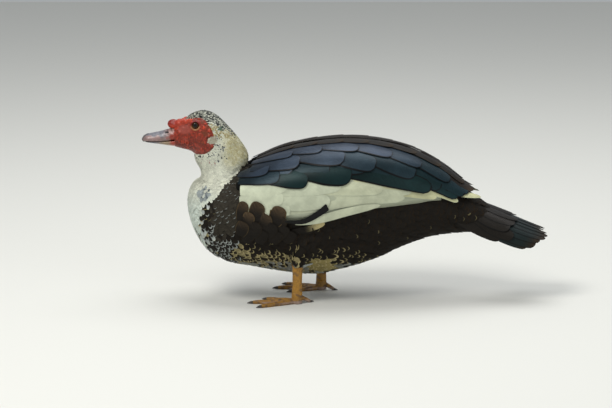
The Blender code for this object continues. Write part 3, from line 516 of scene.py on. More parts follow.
# Plainer feathers: where the tip's colour starts and is full, root's and tip's colour and whether each
# varies, edge colour and width.
PLAIN_TONES = {
    "covert": (1, 2, DARK, DARK, 1, 1, BLACK, 0.1),
    "tip": (0.45, 0.8, DARK, CREAM, 0, 0, DARK, 0.12),
    "back": (0.8, 1.0, BACK_BROWN, BROWN * 0.5, 1, 0, BROWN * 0.4, 0.12),
    "tail": (0.75, 1.0, TAIL_TEAL, BROWN * 0.45, 1, 1, BLACK, 0.12),
    "dark": (1, 2, BLACK * 1.3, BLACK, 0, 0, BLACK, 0.1),
}

EYE = (-0.2370, 0.0172, 0.2817)
EYE_RADIUS = 0.0062
LID_HALF_X, LID_HALF_Z, LID_Y, LID_THICK = 0.0069, 0.0064, 0.0212, 0.0013
# Lobes of the knob and the brow: x, distance from the middle, height, half sizes.
KNOB_LOBES = [
    (-273, 0, 281, 9, 8.6, 7.6),
    (-270, 4, 279.5, 6.5, 6.5, 6),
    (-262, 5, 281.5, 8.5, 8, 7),
    (-257, 9, 284.5, 5, 5, 4.6),
    (-251.5, 12.5, 286, 6.5, 5.5, 5),
    (-245, 16, 288.5, 5.5, 4, 3.4),
]
FACE_CELL, FACE_SEED, FACE_SMOOTH = 0.0008, 3, 3
# The bare skin outside its outline sinks under the plumage: depth, share of it, height over the head's form.
SINK_MOST, SINK_SHARE, FACE_LIFT = 3.4, 0.9, 0.2
NAPE_CUT, THROAT_CUT = (-0.194, 0, 0.26), (-0.22, 0, 0.222)
# Bulbs keep this far from the eye, and this share of their radii from each other and the outline.
EYE_ROOM, BULB_ROOM, OUTLINE_ROOM, BULB_FLAT, BULB_TALL = 9.5, 0.75, 0.5, 0.75, (0.9, 1.3)
RAY_FROM, RIDGE_WIDE, RIDGE_DEEP, LID_DEEP = 0.06, 1.15, 1.4, 7
# The smooth lores before the eye and the knob: middle and half sizes, x and height, and how they fade.
LORES, LORES_FADE = (-254, 275, 12, 8), (0.6, 1.2)
KNOB, KNOB_FADE, KNOB_ROUGH = (-268, 283, 16, 9), (1.2, 0.8), 0.4
PIT_SCALE, PIT_MIDDLE, PIT_DEPTH, PORE_SCALE, PORE_DEPTH = 420, 0.5, 0.55, 900, 0.06
EYE_SMOOTH, SOCKET, SOCKET_DEPTH = (7, 10), 5.6, 0.0165
# Painted light and shade of the bare skin: lighter with height over the head's form and on the pits' raised
# middles, darker in the pits' hollows; an even level on the knob.
BULB_LIGHT_STEP, PIT_LIGHT_STEP, GROOVE_SHADE_STEP, KNOB_TINT = (0.15, 1.1), (-0.2, 0.35), (0.12, -0.25), 0.7
# The face's mottling, and its painted shade low down: scale, depth, and the heights where the shade starts
# and is full.
FACE_PATCH_SCALE, FACE_LOW_SHADE, FACE_LOW = 120, 0.25, (268, 254)
LID_OUT, LID_IN, LID_LOW = (8.6, 7.4), (5.0, 6.2), (-1, 3)
GROOVE_SHARE, OLIVE_SHARE, OLIVE_PATCH, OLIVE_X = 0.3, 0.45, (0.48, 0.3), (-236, -226)
LORES_PINK, CHEEK_PINK, PINK_PATCH, PINK_Z = 0.6, 0.25, (0.5, 0.8), (268, 256)
KNOB_DARK, KNOB_FRONT_X, KNOB_FRONT_Z = 0.75, (-262, -273), (277, 284)
BULB_SHARE, PIT_SHARE, KNOB_INSIDE, SOCKET_SHADE = 0.75, 0.35, 0.4, 0.15
# The painted shade in the bare skin's hollows.
GROOVE_SHADE_RED = np.array((0.07, 0.022, 0.012))
OLIVE_RED = np.array((0.14, 0.045, 0.016))
LID_TAN = np.array((0.32, 0.14, 0.06))
PUPIL = np.array((0.006, 0.005, 0.005))
IRIS = np.array((0.075, 0.036, 0.012))
# The iris in degrees off the eye's axis, and the light low on it.
IRIS_IN, IRIS_OUT, IRIS_LIGHT = (33, 37), (56, 50), (0.003, -0.004)
# Bumps of the bare skin: count for each side, x, z, half sizes of the patch, smallest and largest radius.
BULB_PATCHES = [
    (46, -218, 266, 12, 22, 1.2, 2.3),
    (30, -240, 245, 20, 9, 1.1, 2.0),
    (16, -232, 291, 14, 5, 1.1, 1.8),
    (30, -238, 262, 18, 9, 0.9, 1.6),
    (10, -262, 273, 6, 7, 0.8, 1.3),
]
# Upright ridges of the cheek: x, height, half length.
CHEEK_RIDGES = [
    (-266, 259, 3.5),
    (-262.5, 257, 5),
    (-259, 256, 5.5),
    (-255.5, 256, 6),
    (-252, 256, 6),
    (-248.5, 255, 5.5),
]
RED = np.array((0.36, 0.036, 0.014))
DEEP_RED = np.array((0.16, 0.012, 0.012))
PINK = np.array((0.33, 0.075, 0.055))
BILL_GREY = np.array((0.135, 0.135, 0.155))
BILL_EDGE = np.array((0.24, 0.155, 0.145))
BILL_PINK = np.array((0.30, 0.17, 0.145))
BILL_DARK = np.array((0.045, 0.042, 0.042))
BILL_TAN = np.array((0.26, 0.185, 0.11))
NOSTRIL = (-283, 8.6, 268.8)
NOSTRIL_HALF = (3.6, 1.5)
BILL_PATCH_SCALE = 200
# Steps over the upper bill in millimetres: hole and its rim, nail, edge, ripples.
NOSTRIL_DEPTH, NOSTRIL_STEP, NOSTRIL_RIM, NOSTRIL_SIDE = -1.9, (1.1, 0.55), (2.2, 1.3), 5
NAIL, NAIL_LIFT, NAIL_STEP, NAIL_TIP = (-322, 0, 11, 6.0), 0.5, (1.05, 0.85), (-323.4, -319)
BILL_RIM, BILL_RIM_Z, BILL_RIM_X = 0.3, (256.8, 255.0), (-270, -276)
RIPPLE, RIPPLE_X = 0.12, (-316, -290)
# Where the bill's colours run into each other.
UPPER_BASE, LOWER_BASE, LOWER_TIP, LOWER_RED = (-292, -274), (-304, -284), (-309, -317), (-281, -274)
SIDE_Z, SIDE_RAGGED, SIDE_FADE = 262.5, 6, (-2.5, 2.5)
STREAK_Z, STREAK_FADE, STREAK_SHARE = (268, 272), (0.1, 0.8), 0.55
TIP_X, NAIL_TINT, DARKEST_TIP = (-313, -321), (1.05, 0.9), 0.95
NAIL_SHARE, TIP_SHARE, LOWER_TIP_SHARE, GAPE_SHARE = 0.85, 0.3, 0.7, 0.8
# The red wedge at the bill's root: x of its point, height, spread to each side, raggedness.
WEDGE_X, WEDGE_Z, WEDGE_SPREAD, WEDGE_RAGGED, WEDGE_FADE = -283.5, 260.5, 1.1, 8, (-2, 4)
# Painted shade along the gape and in the nostrils: the gape's heights, the nostrils' fade, the wedge's darker
# red, the painted shade's darkness.
GAPE_Z, NOSTRIL_SHADE_STEP, WEDGE_SHADE, GAPE_SHADE = (255.2, 254.2), (1.0, 0.75), 0.62, 0.4
OCHRE = np.array((0.31, 0.15, 0.013))
OCHRE_DARK = np.array((0.13, 0.065, 0.02))
WEB_PINK = np.array((0.27, 0.19, 0.15))
CLAW_DARK = np.array((0.04, 0.033, 0.028))
# The ankle: distance back from the heel, height, radius.
ANKLE = [(0.001, 0.0, 0.0080), (0.0, 0.006, 0.0090), (0.0005, 0.016, 0.0084)]
# The front toes: angle inwards in degrees, length.
TOES = {"inner": (26, 0.053), "middle": (-2, 0.070), "outer": (-30, 0.065)}
TOE_ROOT, TOE_END, TOE_SINK, TOE_JOINTS, TOE_SWELL = 0.0048, 0.0032, 0.78, 2.5, 0.07
# The hind toe: distance back from the heel, height, radius.
HIND_TOE = [(0.002, 0.0115, 0.0042), (0.013, 0.0068, 0.0034), (0.0225, 0.0021, 0.0027)]
HIND_TOE_WAY = (0.9, -0.35)
WEB_MIDDLE, WEB_THICK = 0.0017, 0.0009
WEB_FROM_TIP, WEB_ROOT, WEB_NOTCH, WEB_CURVE = 0.004, 0.12, 0.2, 0.04
WEB_ACROSS, WEB_ALONG, WEB_RIPPLES, WEB_RIPPLE = 33, 14, 14, 0.0002
CLAW_LENGTH, CLAW_ROOT, CLAW_FLATNESS, HIND_CLAW_SIZE = 0.0095, 0.0024, 0.8, 0.72
# A claw: share of its length, share of its root's radius, share of the way down to the tip's height.
CLAW = [
    (-0.1, 0.9, 0.0),
    (0.0, 1.0, 0.0),
    (0.3, 0.95, 0.0),
    (0.68, 0.55, 0.45),
    (0.9, 0.28, 0.75),
    (1.0, 0.1, 0.9),
]
CLAW_TIP_HEIGHT, CLAW_NOISE_SCALE, CLAW_NOISE = 0.0012, 300, 0.3
# The shank above the heel, in metres: height, radius.
LEG = [
    (0.010, 0.0088),
    (0.022, 0.0082),
    (0.036, 0.0077),
    (0.050, 0.0080),
    (0.060, 0.0090),
    (0.070, 0.0094),
    (0.078, 0.0085),
]
LEG_LEAN, LEG_FLATNESS = 0.0215, 0.74
FOOT_CELL, FOOT_SMOOTH, FOOT_LOWEST, FOOT_FLAT = 0.0007, 2, 0.0001, 0.0006
# Where the scutes fade out: off the toe's line, at heights, along the toe, round the shank.
TOE_SIDE, TOE_LOW, TOE_HIGH, TOE_START = (0.0046, 0.0034), (0.002, 0.0034), (0.013, 0.010), (0.004, 0.010)
SHANK_FROM, SHANK_FRONT = (0.012, 0.016), (-0.1, 0.5)
WEB_SIDE, WEB_HIGH, WEB_SMOOTH = (0.0034, 0.0048), (0.007, 0.004), 0.6
NET_SCALE, NET_MIDDLE, NET_DEPTH = 480, 0.4, 0.0003
LEG_PATCH_SCALE, LEG_PATCH, SOLE_TINT = 160, (0.52, 0.68), (0.02, 0.004)
TOE_SEAM, SHANK_SEAM = (0.22, 0.0), (0.2, 0.0)
SCUTE, TOE_SCUTE, SCUTE_DEPTH = 0.0032, 0.0026, 0.00028
BARB_SCALE, BARB_ACROSS, BARB_DEPTH, BARB_STRENGTH, BARB_LINES = 160, 160 * 0.06, 0.0002, 0.6, (0.25, 0.75)
EDGE_FADE, PLUMAGE_PATCH_SCALE, PLUMAGE_PATCHES = 0.55, 55, (0.3, 0.7, 0.88, 1.1)
NOISE_ROUGHNESS, COAT_ROUGHNESS, SUBSURFACE_RADIUS = 0.55, 0.25, (0.004, 0.0015, 0.001)
MOTTLE_STEP, PORE_FINENESS, PORE_STRENGTH = (0.3, 0.7), 6, 0.5
FLOOR_SIZE, FLOOR_COLOUR, FLOOR_ROUGHNESS = 8, (0.66, 0.66, 0.62, 1), 0.75
WORLD_COLOUR, WORLD_STRENGTH = (0.92, 0.96, 1.0, 1), 0.42
# Soft lights: place, size, power, colour.
LIGHTS = {
    "key light": ((-1.2, -1.6, 2.6), 1.3, 62, (1, 0.98, 0.94)),
    "top light": ((0.3, 0.6, 2.6), 2.0, 45, (1, 1, 1)),
    "fill light": ((1.8, -2.2, 1.0), 1.8, 10, (0.93, 0.97, 1)),
}
LIGHTS_AIM = (0, 0, 0.15)
CAMERA_TARGET = (-0.0614, 0, 0.1511)
CAMERA_DISTANCE, CAMERA_RISE, CAMERA_LENS, SENSOR_WIDTH = 5, 10.5, 183.8, 36


def read_rows(rows, place):
    """The rows of a table read at fractional row numbers along a smooth curve through them."""
    rows = np.asarray(rows, float)
    place = np.clip(np.asarray(place, float), 0, len(rows) - 1)
    first = np.minimum(place.astype(int), len(rows) - 2)
    t = (place - first)[..., None]
    a, b, c, d = (rows[np.clip(first + k, 0, len(rows) - 1)] for k in (-1, 0, 1, 2))
    return b + 0.5 * t * (c - a + t * (2 * a - 5 * b + 4 * c - d + t * (3 * (b - c) + d - a)))


def on_form(form, powers, place, angle):
    """Points in metres at a row number and an angle in radians from the form's top, right side positive."""
    low_x, low_z, high_x, high_z, half_width, rise = np.moveaxis(read_rows(form, place), -1, 0)
    across, up = np.sin(angle), np.cos(angle)
    power = np.where(up > 0, powers[0], powers[1])
    level = np.sign(up) * np.abs(up) ** power + rise * across**2
    y = half_width * np.sign(across) * np.abs(across) ** power
    x = (low_x + high_x) / 2 + (high_x - low_x) / 2 * level
    z = (low_z + high_z) / 2 + (high_z - low_z) / 2 * level
    return np.stack([x, y, z], -1) * MM


def place_of_x(form, powers, x, angle):
    """The row number at which the form, at this angle, stands at x."""
    x, angle = np.broadcast_arrays(np.asarray(x, float), np.asarray(angle, float))
    low = np.zeros(x.shape)
    high = np.full(x.shape, len(form) - 1.0)
    for _ in range(HALVINGS):
        middle = (low + high) / 2
        before = on_form(form, powers, middle, angle)[..., 0] < x
        low, high = np.where(before, middle, low), np.where(before, high, middle)
    return (low + high) / 2


def surface(form, powers, x, angle):
    """Points of a form at x and an angle."""
    return on_form(form, powers, place_of_x(form, powers, x, angle), angle)


def slopes(form, powers, x, angle, step=0.0012, turn=0.018):
    """How the form's point moves with x and with the angle, for each metre and each radian."""
    by_x = surface(form, powers, x + step, angle) - surface(form, powers, x - step, angle)
    by_angle = surface(form, powers, x, angle + turn) - surface(form, powers, x, angle - turn)
    return by_x / (2 * step), by_angle / (2 * turn)


def unit(vectors):
    """Vectors brought to a length of one."""
    return vectors / np.maximum(np.linalg.norm(vectors, axis=-1, keepdims=True), 1e-12)


def outward(form, powers, x, angle):
    """The form's outward unit normal at x and an angle, right side."""
    return unit(np.cross(*slopes(form, powers, x, angle)))


def angle_at_height(x, z):
    """The angle from the top at which the body's side has a height z at x, both in millimetres."""
    low, high = 0.0, math.pi
    for _ in range(HALVINGS):
        middle = (low + high) / 2
        if surface(BODY, BODY_POWERS, x * MM, middle)[2] > z * MM:
            low = middle
        else:
            high = middle
    return math.degrees(low)


def wing_place(edges, x, share):
    """The angle and the core's height at x and a share of the way down the wing."""
    rows = read_rows(edges, np.interp(x, edges[:, 0], np.arange(len(edges))))
    angle = rows[..., 1] + (rows[..., 2] - rows[..., 1]) * share
    crown = CROWN_EDGE + (1 - CROWN_EDGE) * np.sin(np.pi * np.clip(share, 0, 1)) ** CROWN_POWER
    return angle, WING_ROOM + rows[..., 3] * crown


def wing_lift(x):
    """How far the wing's end stands off the body, in millimetres."""
    return WING_TIP_LIFT * np.clip((x / MM - WING_LIFT_FROM) / (WING_LIFT_TO - WING_LIFT_FROM), 0, 1) ** 2


def soft_step(value, low, high):
    """Runs smoothly from nought at low to one at high."""
    t = np.clip((value - low) / (high - low), 0, 1)
    return t * t * (3 - 2 * t)


def blend(first, second, share):
    """One colour or number run into another by a share."""
    return first * (1 - share) + second * share


def oval(x, z, middle_x, middle_z, half_x, half_z):
    """How far out places seen from the side lie in an oval, its edge at one."""
    return np.hypot((x - middle_x) / half_x, (z - middle_z) / half_z)


def noise_at(points, scale):
    """Soft noise between about -1 and 1 at places."""
    return np.array([noise.noise(Vector(p) * scale) for p in points])


def patches_at(points, scale):
    """Soft noise between about nought and one at places."""
    return noise_at(points, scale) * 0.5 + 0.5


def cells_at(points, scale):
    """Distance from places to the nearest of scattered spots, in spots' widths."""
    return np.array([noise.voronoi(Vector(p) * scale)[0][0] for p in points])


def tree_of(thing):
    """A thing's faces, ready to be searched."""
    mesh = thing.data
    return BVHTree.FromPolygons([v.co for v in mesh.vertices], [p.vertices for p in mesh.polygons])


def make_mesh(name, points, faces):
    """A smooth mesh from an (n, 3) array of points and a list of faces."""
    mesh = bpy.data.meshes.new(name)
    mesh.from_pydata([tuple(p) for p in points], [], faces)
    mesh.update()
    mesh.shade_smooth()
    thing = bpy.data.objects.new(name, mesh)
    bpy.context.scene.collection.objects.link(thing)
    return thing


def ring_faces(count, around, first, last):
    """Faces of a row of rings, and fans that close its ends at the corners first and last."""
    faces = []
    for i in range(count):
        for j in range(around):
            k = (j + 1) % around
            faces.append((i * around + j, i * around + k, (i + 1) * around + k, (i + 1) * around + j))
    for j in range(around):
        k = (j + 1) % around
        faces.append((first, k, j))
        faces.append((last, count * around + j, count * around + k))
    return faces


def form_object(name, form, powers, around, steps):
    """A whole form as a closed mesh with around sides and steps rings for each row, its ends drawn shut."""
    count = (len(form) - 1) * steps
    angles = np.arange(around) * math.tau / around
    places = np.linspace(0, len(form) - 1, count + 1)
    grid = on_form(form, powers, places[:, None], angles[None])
    points = np.concatenate([grid.reshape(-1, 3), grid[0].mean(0)[None], grid[-1].mean(0)[None]])
    thing = make_mesh(name, points, ring_faces(count, around, len(points) - 2, len(points) - 1))
    turn_faces_out(thing)
    return thing


def tube_object(name, path, radii, around=24, flatness=1.0):
    """A tapered tube along a path in metres with closed round ends, flatness squashing its sides."""
    path, radii = np.asarray(path, float), np.asarray(radii, float)
    way = unit(np.gradient(path, axis=0))
    side = np.cross(way[0], (0, 0, 1))
    if np.linalg.norm(side) < 0.5:
        side = np.array([0.0, 1.0, 0.0])
    turns = np.arange(around) * math.tau / around
    rings = []
    for point, radius, forward in zip(path, radii, way):
        side = unit(side - forward * (side @ forward))
        up = np.cross(side, forward)
        ring = np.outer(np.cos(turns), side) * flatness + np.outer(np.sin(turns), up)
        rings.append(point + radius * ring)
    points = np.concatenate([*rings, path[:1], path[-1:]])
    thing = make_mesh(name, points, ring_faces(len(rings) - 1, around, len(points) - 2, len(points) - 1))
    turn_faces_out(thing)
    return thing


def pick(thing):
    """Leaves one object selected and active."""
    bpy.ops.object.select_all(action="DESELECT")
    thing.select_set(True)
    bpy.context.view_layer.objects.active = thing


def turn_faces_out(thing):
    """Makes every face look outwards."""
    pick(thing)
    bpy.ops.object.mode_set(mode="EDIT")
    bpy.ops.mesh.select_all(action="SELECT")
    bpy.ops.mesh.normals_make_consistent(inside=False)
    bpy.ops.object.mode_set(mode="OBJECT")


def join(name, things):
    """Runs several things into the first of them."""
    pick(things[0])
    for thing in things[1:]:
        thing.select_set(True)
    bpy.ops.object.join()
    things[0].name = name
    return things[0]


def apply_modifier(thing, kind, **settings):
    """Adds a modifier with its settings and applies it."""
    pick(thing)
    modifier = thing.modifiers.new("shape", kind)
    for key, value in settings.items():
        setattr(modifier, key, value)
    bpy.ops.object.modifier_apply(modifier=modifier.name)


def melt(thing, size, smooth):
    """Runs the parts of a thing into one skin with cells of a size, and smooths it."""
    apply_modifier(thing, "REMESH", mode="VOXEL", voxel_size=size)
    if smooth:
        apply_modifier(thing, "SMOOTH", factor=0.5, iterations=smooth)
    thing.data.shade_smooth()


def ball(name, centre, radii, detail=3):
    """A ball with three half sizes, its place in its mesh."""
    bpy.ops.mesh.primitive_ico_sphere_add(subdivisions=detail, radius=1, location=(0, 0, 0))
    thing = bpy.context.object
    thing.name = name
    thing.data.transform(matrix_of(centre, radii))
    return thing


def matrix_of(centre, radii):
    """The matrix that moves and stretches a unit ball."""
    return Matrix.Translation(centre) @ Matrix.Diagonal((*radii, 1))


def corners_of(mesh, what="co"):
    """The places of a mesh's corners, or their normals."""
    found = np.empty(len(mesh.vertices) * 3)
    mesh.vertices.foreach_get(what, found)
    return found.reshape(-1, 3)


def normals_of(mesh):
    """The normals at a mesh's corners."""
    return corners_of(mesh, "normal")


def put_corners(mesh, points):
    """Moves a mesh's corners to new places."""
    mesh.vertices.foreach_set("co", np.ascontiguousarray(points, float).ravel())
    mesh.update()


def paint(mesh, name, colours):
    """Stores one colour, or one number, for each point of a mesh."""
    colours = np.asarray(colours, float)
    if colours.ndim == 1:
        layer = mesh.attributes.new(name, "FLOAT", "POINT")
        layer.data.foreach_set("value", colours)
        return
    layer = mesh.attributes.new(name, "FLOAT_COLOR", "POINT")
    full = np.ones((len(colours), 4))
    full[:, :3] = colours
    layer.data.foreach_set("color", full.ravel())


def lens_faces(rows, columns, inner):
    """Faces of one feather: a top grid, and an underside that shares the grid's rim."""
    def top(i, j):
        return i * columns + j

    def under(i, j):
        if not inner or i in (0, rows - 1) or j in (0, columns - 1):
            return top(i, j)
        return rows * columns + (i - 1) * (columns - 2) + j - 1

    faces = []
    for i in range(rows - 1):
        for j in range(columns - 1):
            faces.append((top(i, j), top(i, j + 1), top(i + 1, j + 1), top(i + 1, j)))
    if inner:
        for i in range(rows - 1):
            for j in range(columns - 1):
                faces.append((under(i, j), under(i + 1, j), under(i + 1, j + 1), under(i, j + 1)))
        return faces
    last = columns - 1
    for i in range(rows - 1):
        faces.append((top(i, 0), top(i + 1, 0), top(i + 1, last), top(i, last)))
    faces.append(tuple(top(0, j) for j in range(last, -1, -1)))
    faces.append(tuple(top(rows - 1, j) for j in range(columns)))
    return faces


def feather_object(name, points, faces, colours, fringes, edges, rims, vanes, places):
    """Many like feathers as one mesh.

    points, colours and vanes hold a row of corners for each feather; fringes and edges one value for
    each feather; rims one value for each corner; places the corners' places on the unwrap.
    """
    count, size = points.shape[:2]
    loops = np.concatenate([np.array(f) for f in faces])
    sizes = np.array([len(f) for f in faces])
    starts = np.concatenate([[0], np.cumsum(sizes)[:-1]])
    feathers = np.arange(count)[:, None]
    index = (loops[None] + feathers * size).ravel()
    mesh = bpy.data.meshes.new(name)
    mesh.vertices.add(count * size)
    mesh.loops.add(len(index))
    mesh.polygons.add(count * len(faces))
    mesh.vertices.foreach_set("co", points.reshape(-1))
    mesh.loops.foreach_set("vertex_index", index.astype(np.int32))
    mesh.polygons.foreach_set("loop_start", (starts[None] + feathers * len(loops)).ravel().astype(np.int32))
    mesh.update(calc_edges=True)
    mesh.validate()
    mesh.shade_smooth()
    mesh.set_sharp_from_angle(angle=math.radians(SHARP_EDGE))
    paint(mesh, "plumage", colours.reshape(-1, 3))
    paint(mesh, "fringe", np.repeat(fringes, size, axis=0))
    paint(mesh, "edge", np.repeat(edges, size))
    paint(mesh, "rim", np.tile(rims, count))
    for layer, values in (("OFBake", places), ("vane", vanes)):
        made = mesh.uv_layers.new(name=layer)
        made.uv.foreach_set("vector", values.reshape(-1, 2)[index].ravel())
    thing = bpy.data.objects.new(name, mesh)
    bpy.context.scene.collection.objects.link(thing)
    return thing


def scatter(mesh, spacing, wanted, seed):
    """Random places on a mesh that stand no closer together than the spacing at each of them."""
    draw = np.random.default_rng(seed)
    mesh.calc_loop_triangles()
    corners = np.empty(len(mesh.loop_triangles) * 3, np.int32)
    mesh.loop_triangles.foreach_get("vertices", corners)
    a, b, c = (corners_of(mesh)[corners.reshape(-1, 3)[:, k]] for k in range(3))
    areas = np.linalg.norm(np.cross(b - a, c - a), axis=1) / 2
    middles = (a + b + c) / 3
    wish = np.where(wanted(middles), areas / spacing(middles) ** 2 * CANDIDATES, 0)
    chosen = np.repeat(np.arange(len(areas)), draw.poisson(wish))
    u, v = np.sqrt(draw.random(len(chosen))), draw.random(len(chosen))
    points = a[chosen] * (1 - u)[:, None] + b[chosen] * (u * (1 - v))[:, None] + c[chosen] * (u * v)[:, None]
    points = points[draw.permutation(len(points))]
    near = kdtree.KDTree(len(points))
    for k, point in enumerate(points):
        near.insert(point, k)
    near.balance()
    reach = spacing(points)
    alive = np.ones(len(points), bool)
    for k in range(len(points)):
        if alive[k]:
            for _, other, _ in near.find_range(points[k], reach[k]):
                if other > k:
                    alive[other] = False
    points = points[alive]
    return points[wanted(points)]


def coat_at(points):
    """Way of the lie, length, half width and lift of the small feathers at places, from the coat's table."""
    table = np.array(COAT, float)
    flat = points[:, [0, 2]] / MM
    far = ((flat[:, None] - table[None, :, :2]) ** 2).sum(2) + COAT_BLUR**2
    weights = far**-2.0
    weights /= weights.sum(1, keepdims=True)
    found = weights @ table[:, 2:]
    ways = np.stack([found[:, 0], np.zeros(len(found)), found[:, 1]], 1)
    size = np.interp(flat[:, 1], *FINENESS) * MM
    return unit(ways), found[:, 2] * size, found[:, 3] * size, found[:, 4] * MM


def unwrap(points):
    """Places of points on a flat map of a piece, from nought to one: along the body, and round it."""
    x, y, z = points.T
    turn = np.arctan2(y, z - np.interp(x, *AXIS))
    along = x - (z - np.interp(x, *AXIS)) * UNWRAP_LEAN
    flat = np.stack([along, turn], 1)
    low, high = flat.min(0), flat.max(0)
    return MAP_MARGIN + (1 - 2 * MAP_MARGIN) * (flat - low) / (high - low)


def grow_coat(name, tree, roots, seed):
    """Small feathers rooted in the skin that lie along it, each a piece of one mesh."""
    draw = np.random.default_rng(seed)
    count = len(roots)
    ways, lengths, halves, lifts = coat_at(roots)
    lengths = lengths * draw.uniform(*LENGTH_RANGE, count)
    halves = halves * draw.uniform(*WIDTH_RANGE, count)
    turn = draw.normal(0, LIE_SPREAD, count)
    outline = np.array(SMALL_FEATHER)
    shares, widths = outline[:, 0], outline[:, 1]
    rows, columns = len(outline), 3
    centre = np.empty((count, rows, 3))
    normal = np.empty((count, rows, 3))
    for k in range(count):
        _, out, _, _ = tree.find_nearest(roots[k])
        forward = Vector(ways[k]) - out * out.dot(Vector(ways[k]))
        forward.normalize()
        side = out.cross(forward)
        forward = forward * math.cos(turn[k]) + side * math.sin(turn[k])
        root = Vector(roots[k])
        for i, share in enumerate(shares):
            hit, out, _, _ = tree.find_nearest(root + forward * (lengths[k] * share))
            centre[k, i] = hit
            normal[k, i] = out
    forward = unit(np.gradient(centre, axis=1))
    side = unit(np.cross(normal, forward))
    height = ROOT_SINK + (lifts[:, None] - ROOT_SINK) * shares[None] ** LIFT_POWER
    height = height * draw.uniform(*LIFT_RANGE, count)[:, None]
    across = np.array((-1, 0, 1))
    spread = halves[:, None, None] * widths[None, :, None] * across
    top = centre[:, :, None] + side[:, :, None] * spread[..., None]
    top = top + normal[:, :, None] * (height[:, :, None] - CAMBER * np.abs(spread))[..., None]
    points = top.reshape(count, rows * columns, 3)
    tips = centre[:, -2]
    colour, fringe, edge = marks(tips, draw)
    shade = 1 + (draw.random(count) - 0.5) * FEATHER_VARIETY
    colours = np.repeat((colour * shade[:, None])[:, None], rows * columns, axis=1)
    middle, sides = np.clip((1 - shares) / RIM_SHARE, 0, 1), RIM_SIDES * (1 - shares**2)
    rim = np.stack([sides, middle, sides], 1).ravel()
    edge = edge * draw.uniform(*RIM_VARIETY, count)
    reach = np.broadcast_to((lengths[:, None] * shares)[..., None], spread.shape)
    vane = np.stack([spread + draw.random(count)[:, None, None] * VANE_OFFSET, reach], -1) * VANE_SCALE
    half = MAP_PATCH / 2
    patch = np.stack(np.broadcast_arrays(across[None, :] * half, (shares[:, None] - 0.5) * MAP_PATCH), -1)
    places = unwrap(roots)[:, None, None] + patch[None]
    faces = lens_faces(rows, columns, False)
    return feather_object(
        name, points, faces, colours, fringe, edge, rim,
        vane.reshape(count, -1, 2), places.reshape(count, -1, 2),
    )


def make_skin():
    """One smooth skin under the plumage of body, neck, head and thighs, inside them by the coat's depth."""
    parts = [
        form_object("skin", BODY, BODY_POWERS, BODY_SIDES, FORM_STEPS),
        form_object("head form", HEAD, HEAD_POWERS, HEAD_SIDES, FORM_STEPS),
    ]
    for side, sign in SIDES.items():
        path = [HEELS[side] + np.array((x, out * sign, z)) for x, out, z, _ in THIGH]
        parts.append(tube_object("thigh form", path, [r for *_, r in THIGH], THIGH_SIDES))
    skin = join("skin", parts)
    melt(skin, SKIN_CELL, SKIN_SMOOTH)
    points, normals = corners_of(skin.data), normals_of(skin.data)
    _, _, _, lift = coat_at(points)
    sunk = np.clip(mask_depth(points) * (points[:, 2] > FACE_ABOVE), 0, FACE_SINK) * MM
    put_corners(skin.data, points - normals * (lift * COAT_DEPTH + sunk)[:, None])
    paint(skin.data, "plumage", marks(corners_of(skin.data), None)[0] * SKIN_SHADE)
    return skin


def under_wing(points):
    """Whether places on the body lie well under a folded wing, where no feather is seen."""
    x, _, z = (points / MM).T
    table = np.array(WING, float)
    low = np.interp(x, table[:, 0], table[:, 2])
    upper = np.interp(x, WING_TOP_X, WING_TOP_Z)
    first, last, above, below = WING_HIDES
    return (x > first) & (x < last) & (z > low + above) & (z < upper - below)


def mask_depth(points):
    """How far places on the head lie inside the bare face's outline, in millimetres, outside it negative."""
    outline = read_rows(FACE_OUTLINE + FACE_OUTLINE[:1], np.linspace(0, len(FACE_OUTLINE), 120))
    flat = points[:, [0, 2]] / MM
    a, b = outline[:-1], outline[1:]
    step = b - a
    share = ((flat[:, None] - a) * step).sum(2) / np.maximum((step**2).sum(1), 1e-9)
    near = a + step * np.clip(share, 0, 1)[..., None]
    far = np.linalg.norm(flat[:, None] - near, axis=2).min(1)
    x, z = flat.T
    rises = (a[None, :, 1] > z[:, None]) != (b[None, :, 1] > z[:, None])
    slope = np.where(step[:, 1] == 0, 1e-9, step[:, 1])
    crossing = a[None, :, 0] + (z[:, None] - a[None, :, 1]) / slope * step[:, 0]
    inside = (rises & (x[:, None] < crossing)).sum(1) % 2 == 1
    ear = (np.hypot((x - EAR[0]) / EAR_HALF[0], (z - EAR[1]) / EAR_HALF[1]) - 1) * min(EAR_HALF)
    return np.minimum(np.where(inside, far, -far), ear)


def make_coat(skin):
    """The small feathers of head, neck, breast, belly, flanks, back and thighs, as pieces."""
    tree = tree_of(skin)
    areas = {
        "coat_head": lambda x, z: z > HEAD_FROM,
        "coat_neck": lambda x, z: (z <= HEAD_FROM) & (x < NECK_BEFORE) & (z > NECK_FROM),
        "coat_breast": lambda x, z: (z <= NECK_FROM) & (x < BREAST_BEFORE),
        "coat_flanks": lambda x, z: (z <= BACK_FROM)
        & (x >= np.where(z > NECK_FROM, NECK_BEFORE, BREAST_BEFORE)),
        "coat_back": lambda x, z: (z > BACK_FROM) & (x >= NECK_BEFORE),
    }
    made = []
    for seed, (name, inside) in enumerate(areas.items()):
        def wanted(points):
            x, _, z = points.T
            ragged = noise_at(points, RAGGED_SCALE) * RAGGED_EDGE
            bare = (z > FACE_LOWEST) & (x < FACE_BEFORE) & (mask_depth(points) > FACE_MARGIN + ragged)
            bare = bare | (x < BILL_FROM) & (z > FACE_ABOVE)
            return inside(x, z) & ~under_wing(points) & ~bare & (x < COAT_END)

        roots = scatter(skin.data, lambda p: coat_at(p)[2] * SPACING_SHARE, wanted, COAT_SEED + seed)
        made.append(grow_coat(name, tree, roots, COAT_SEED + seed))
        print(name, len(roots), "feathers", flush=True)
    return made


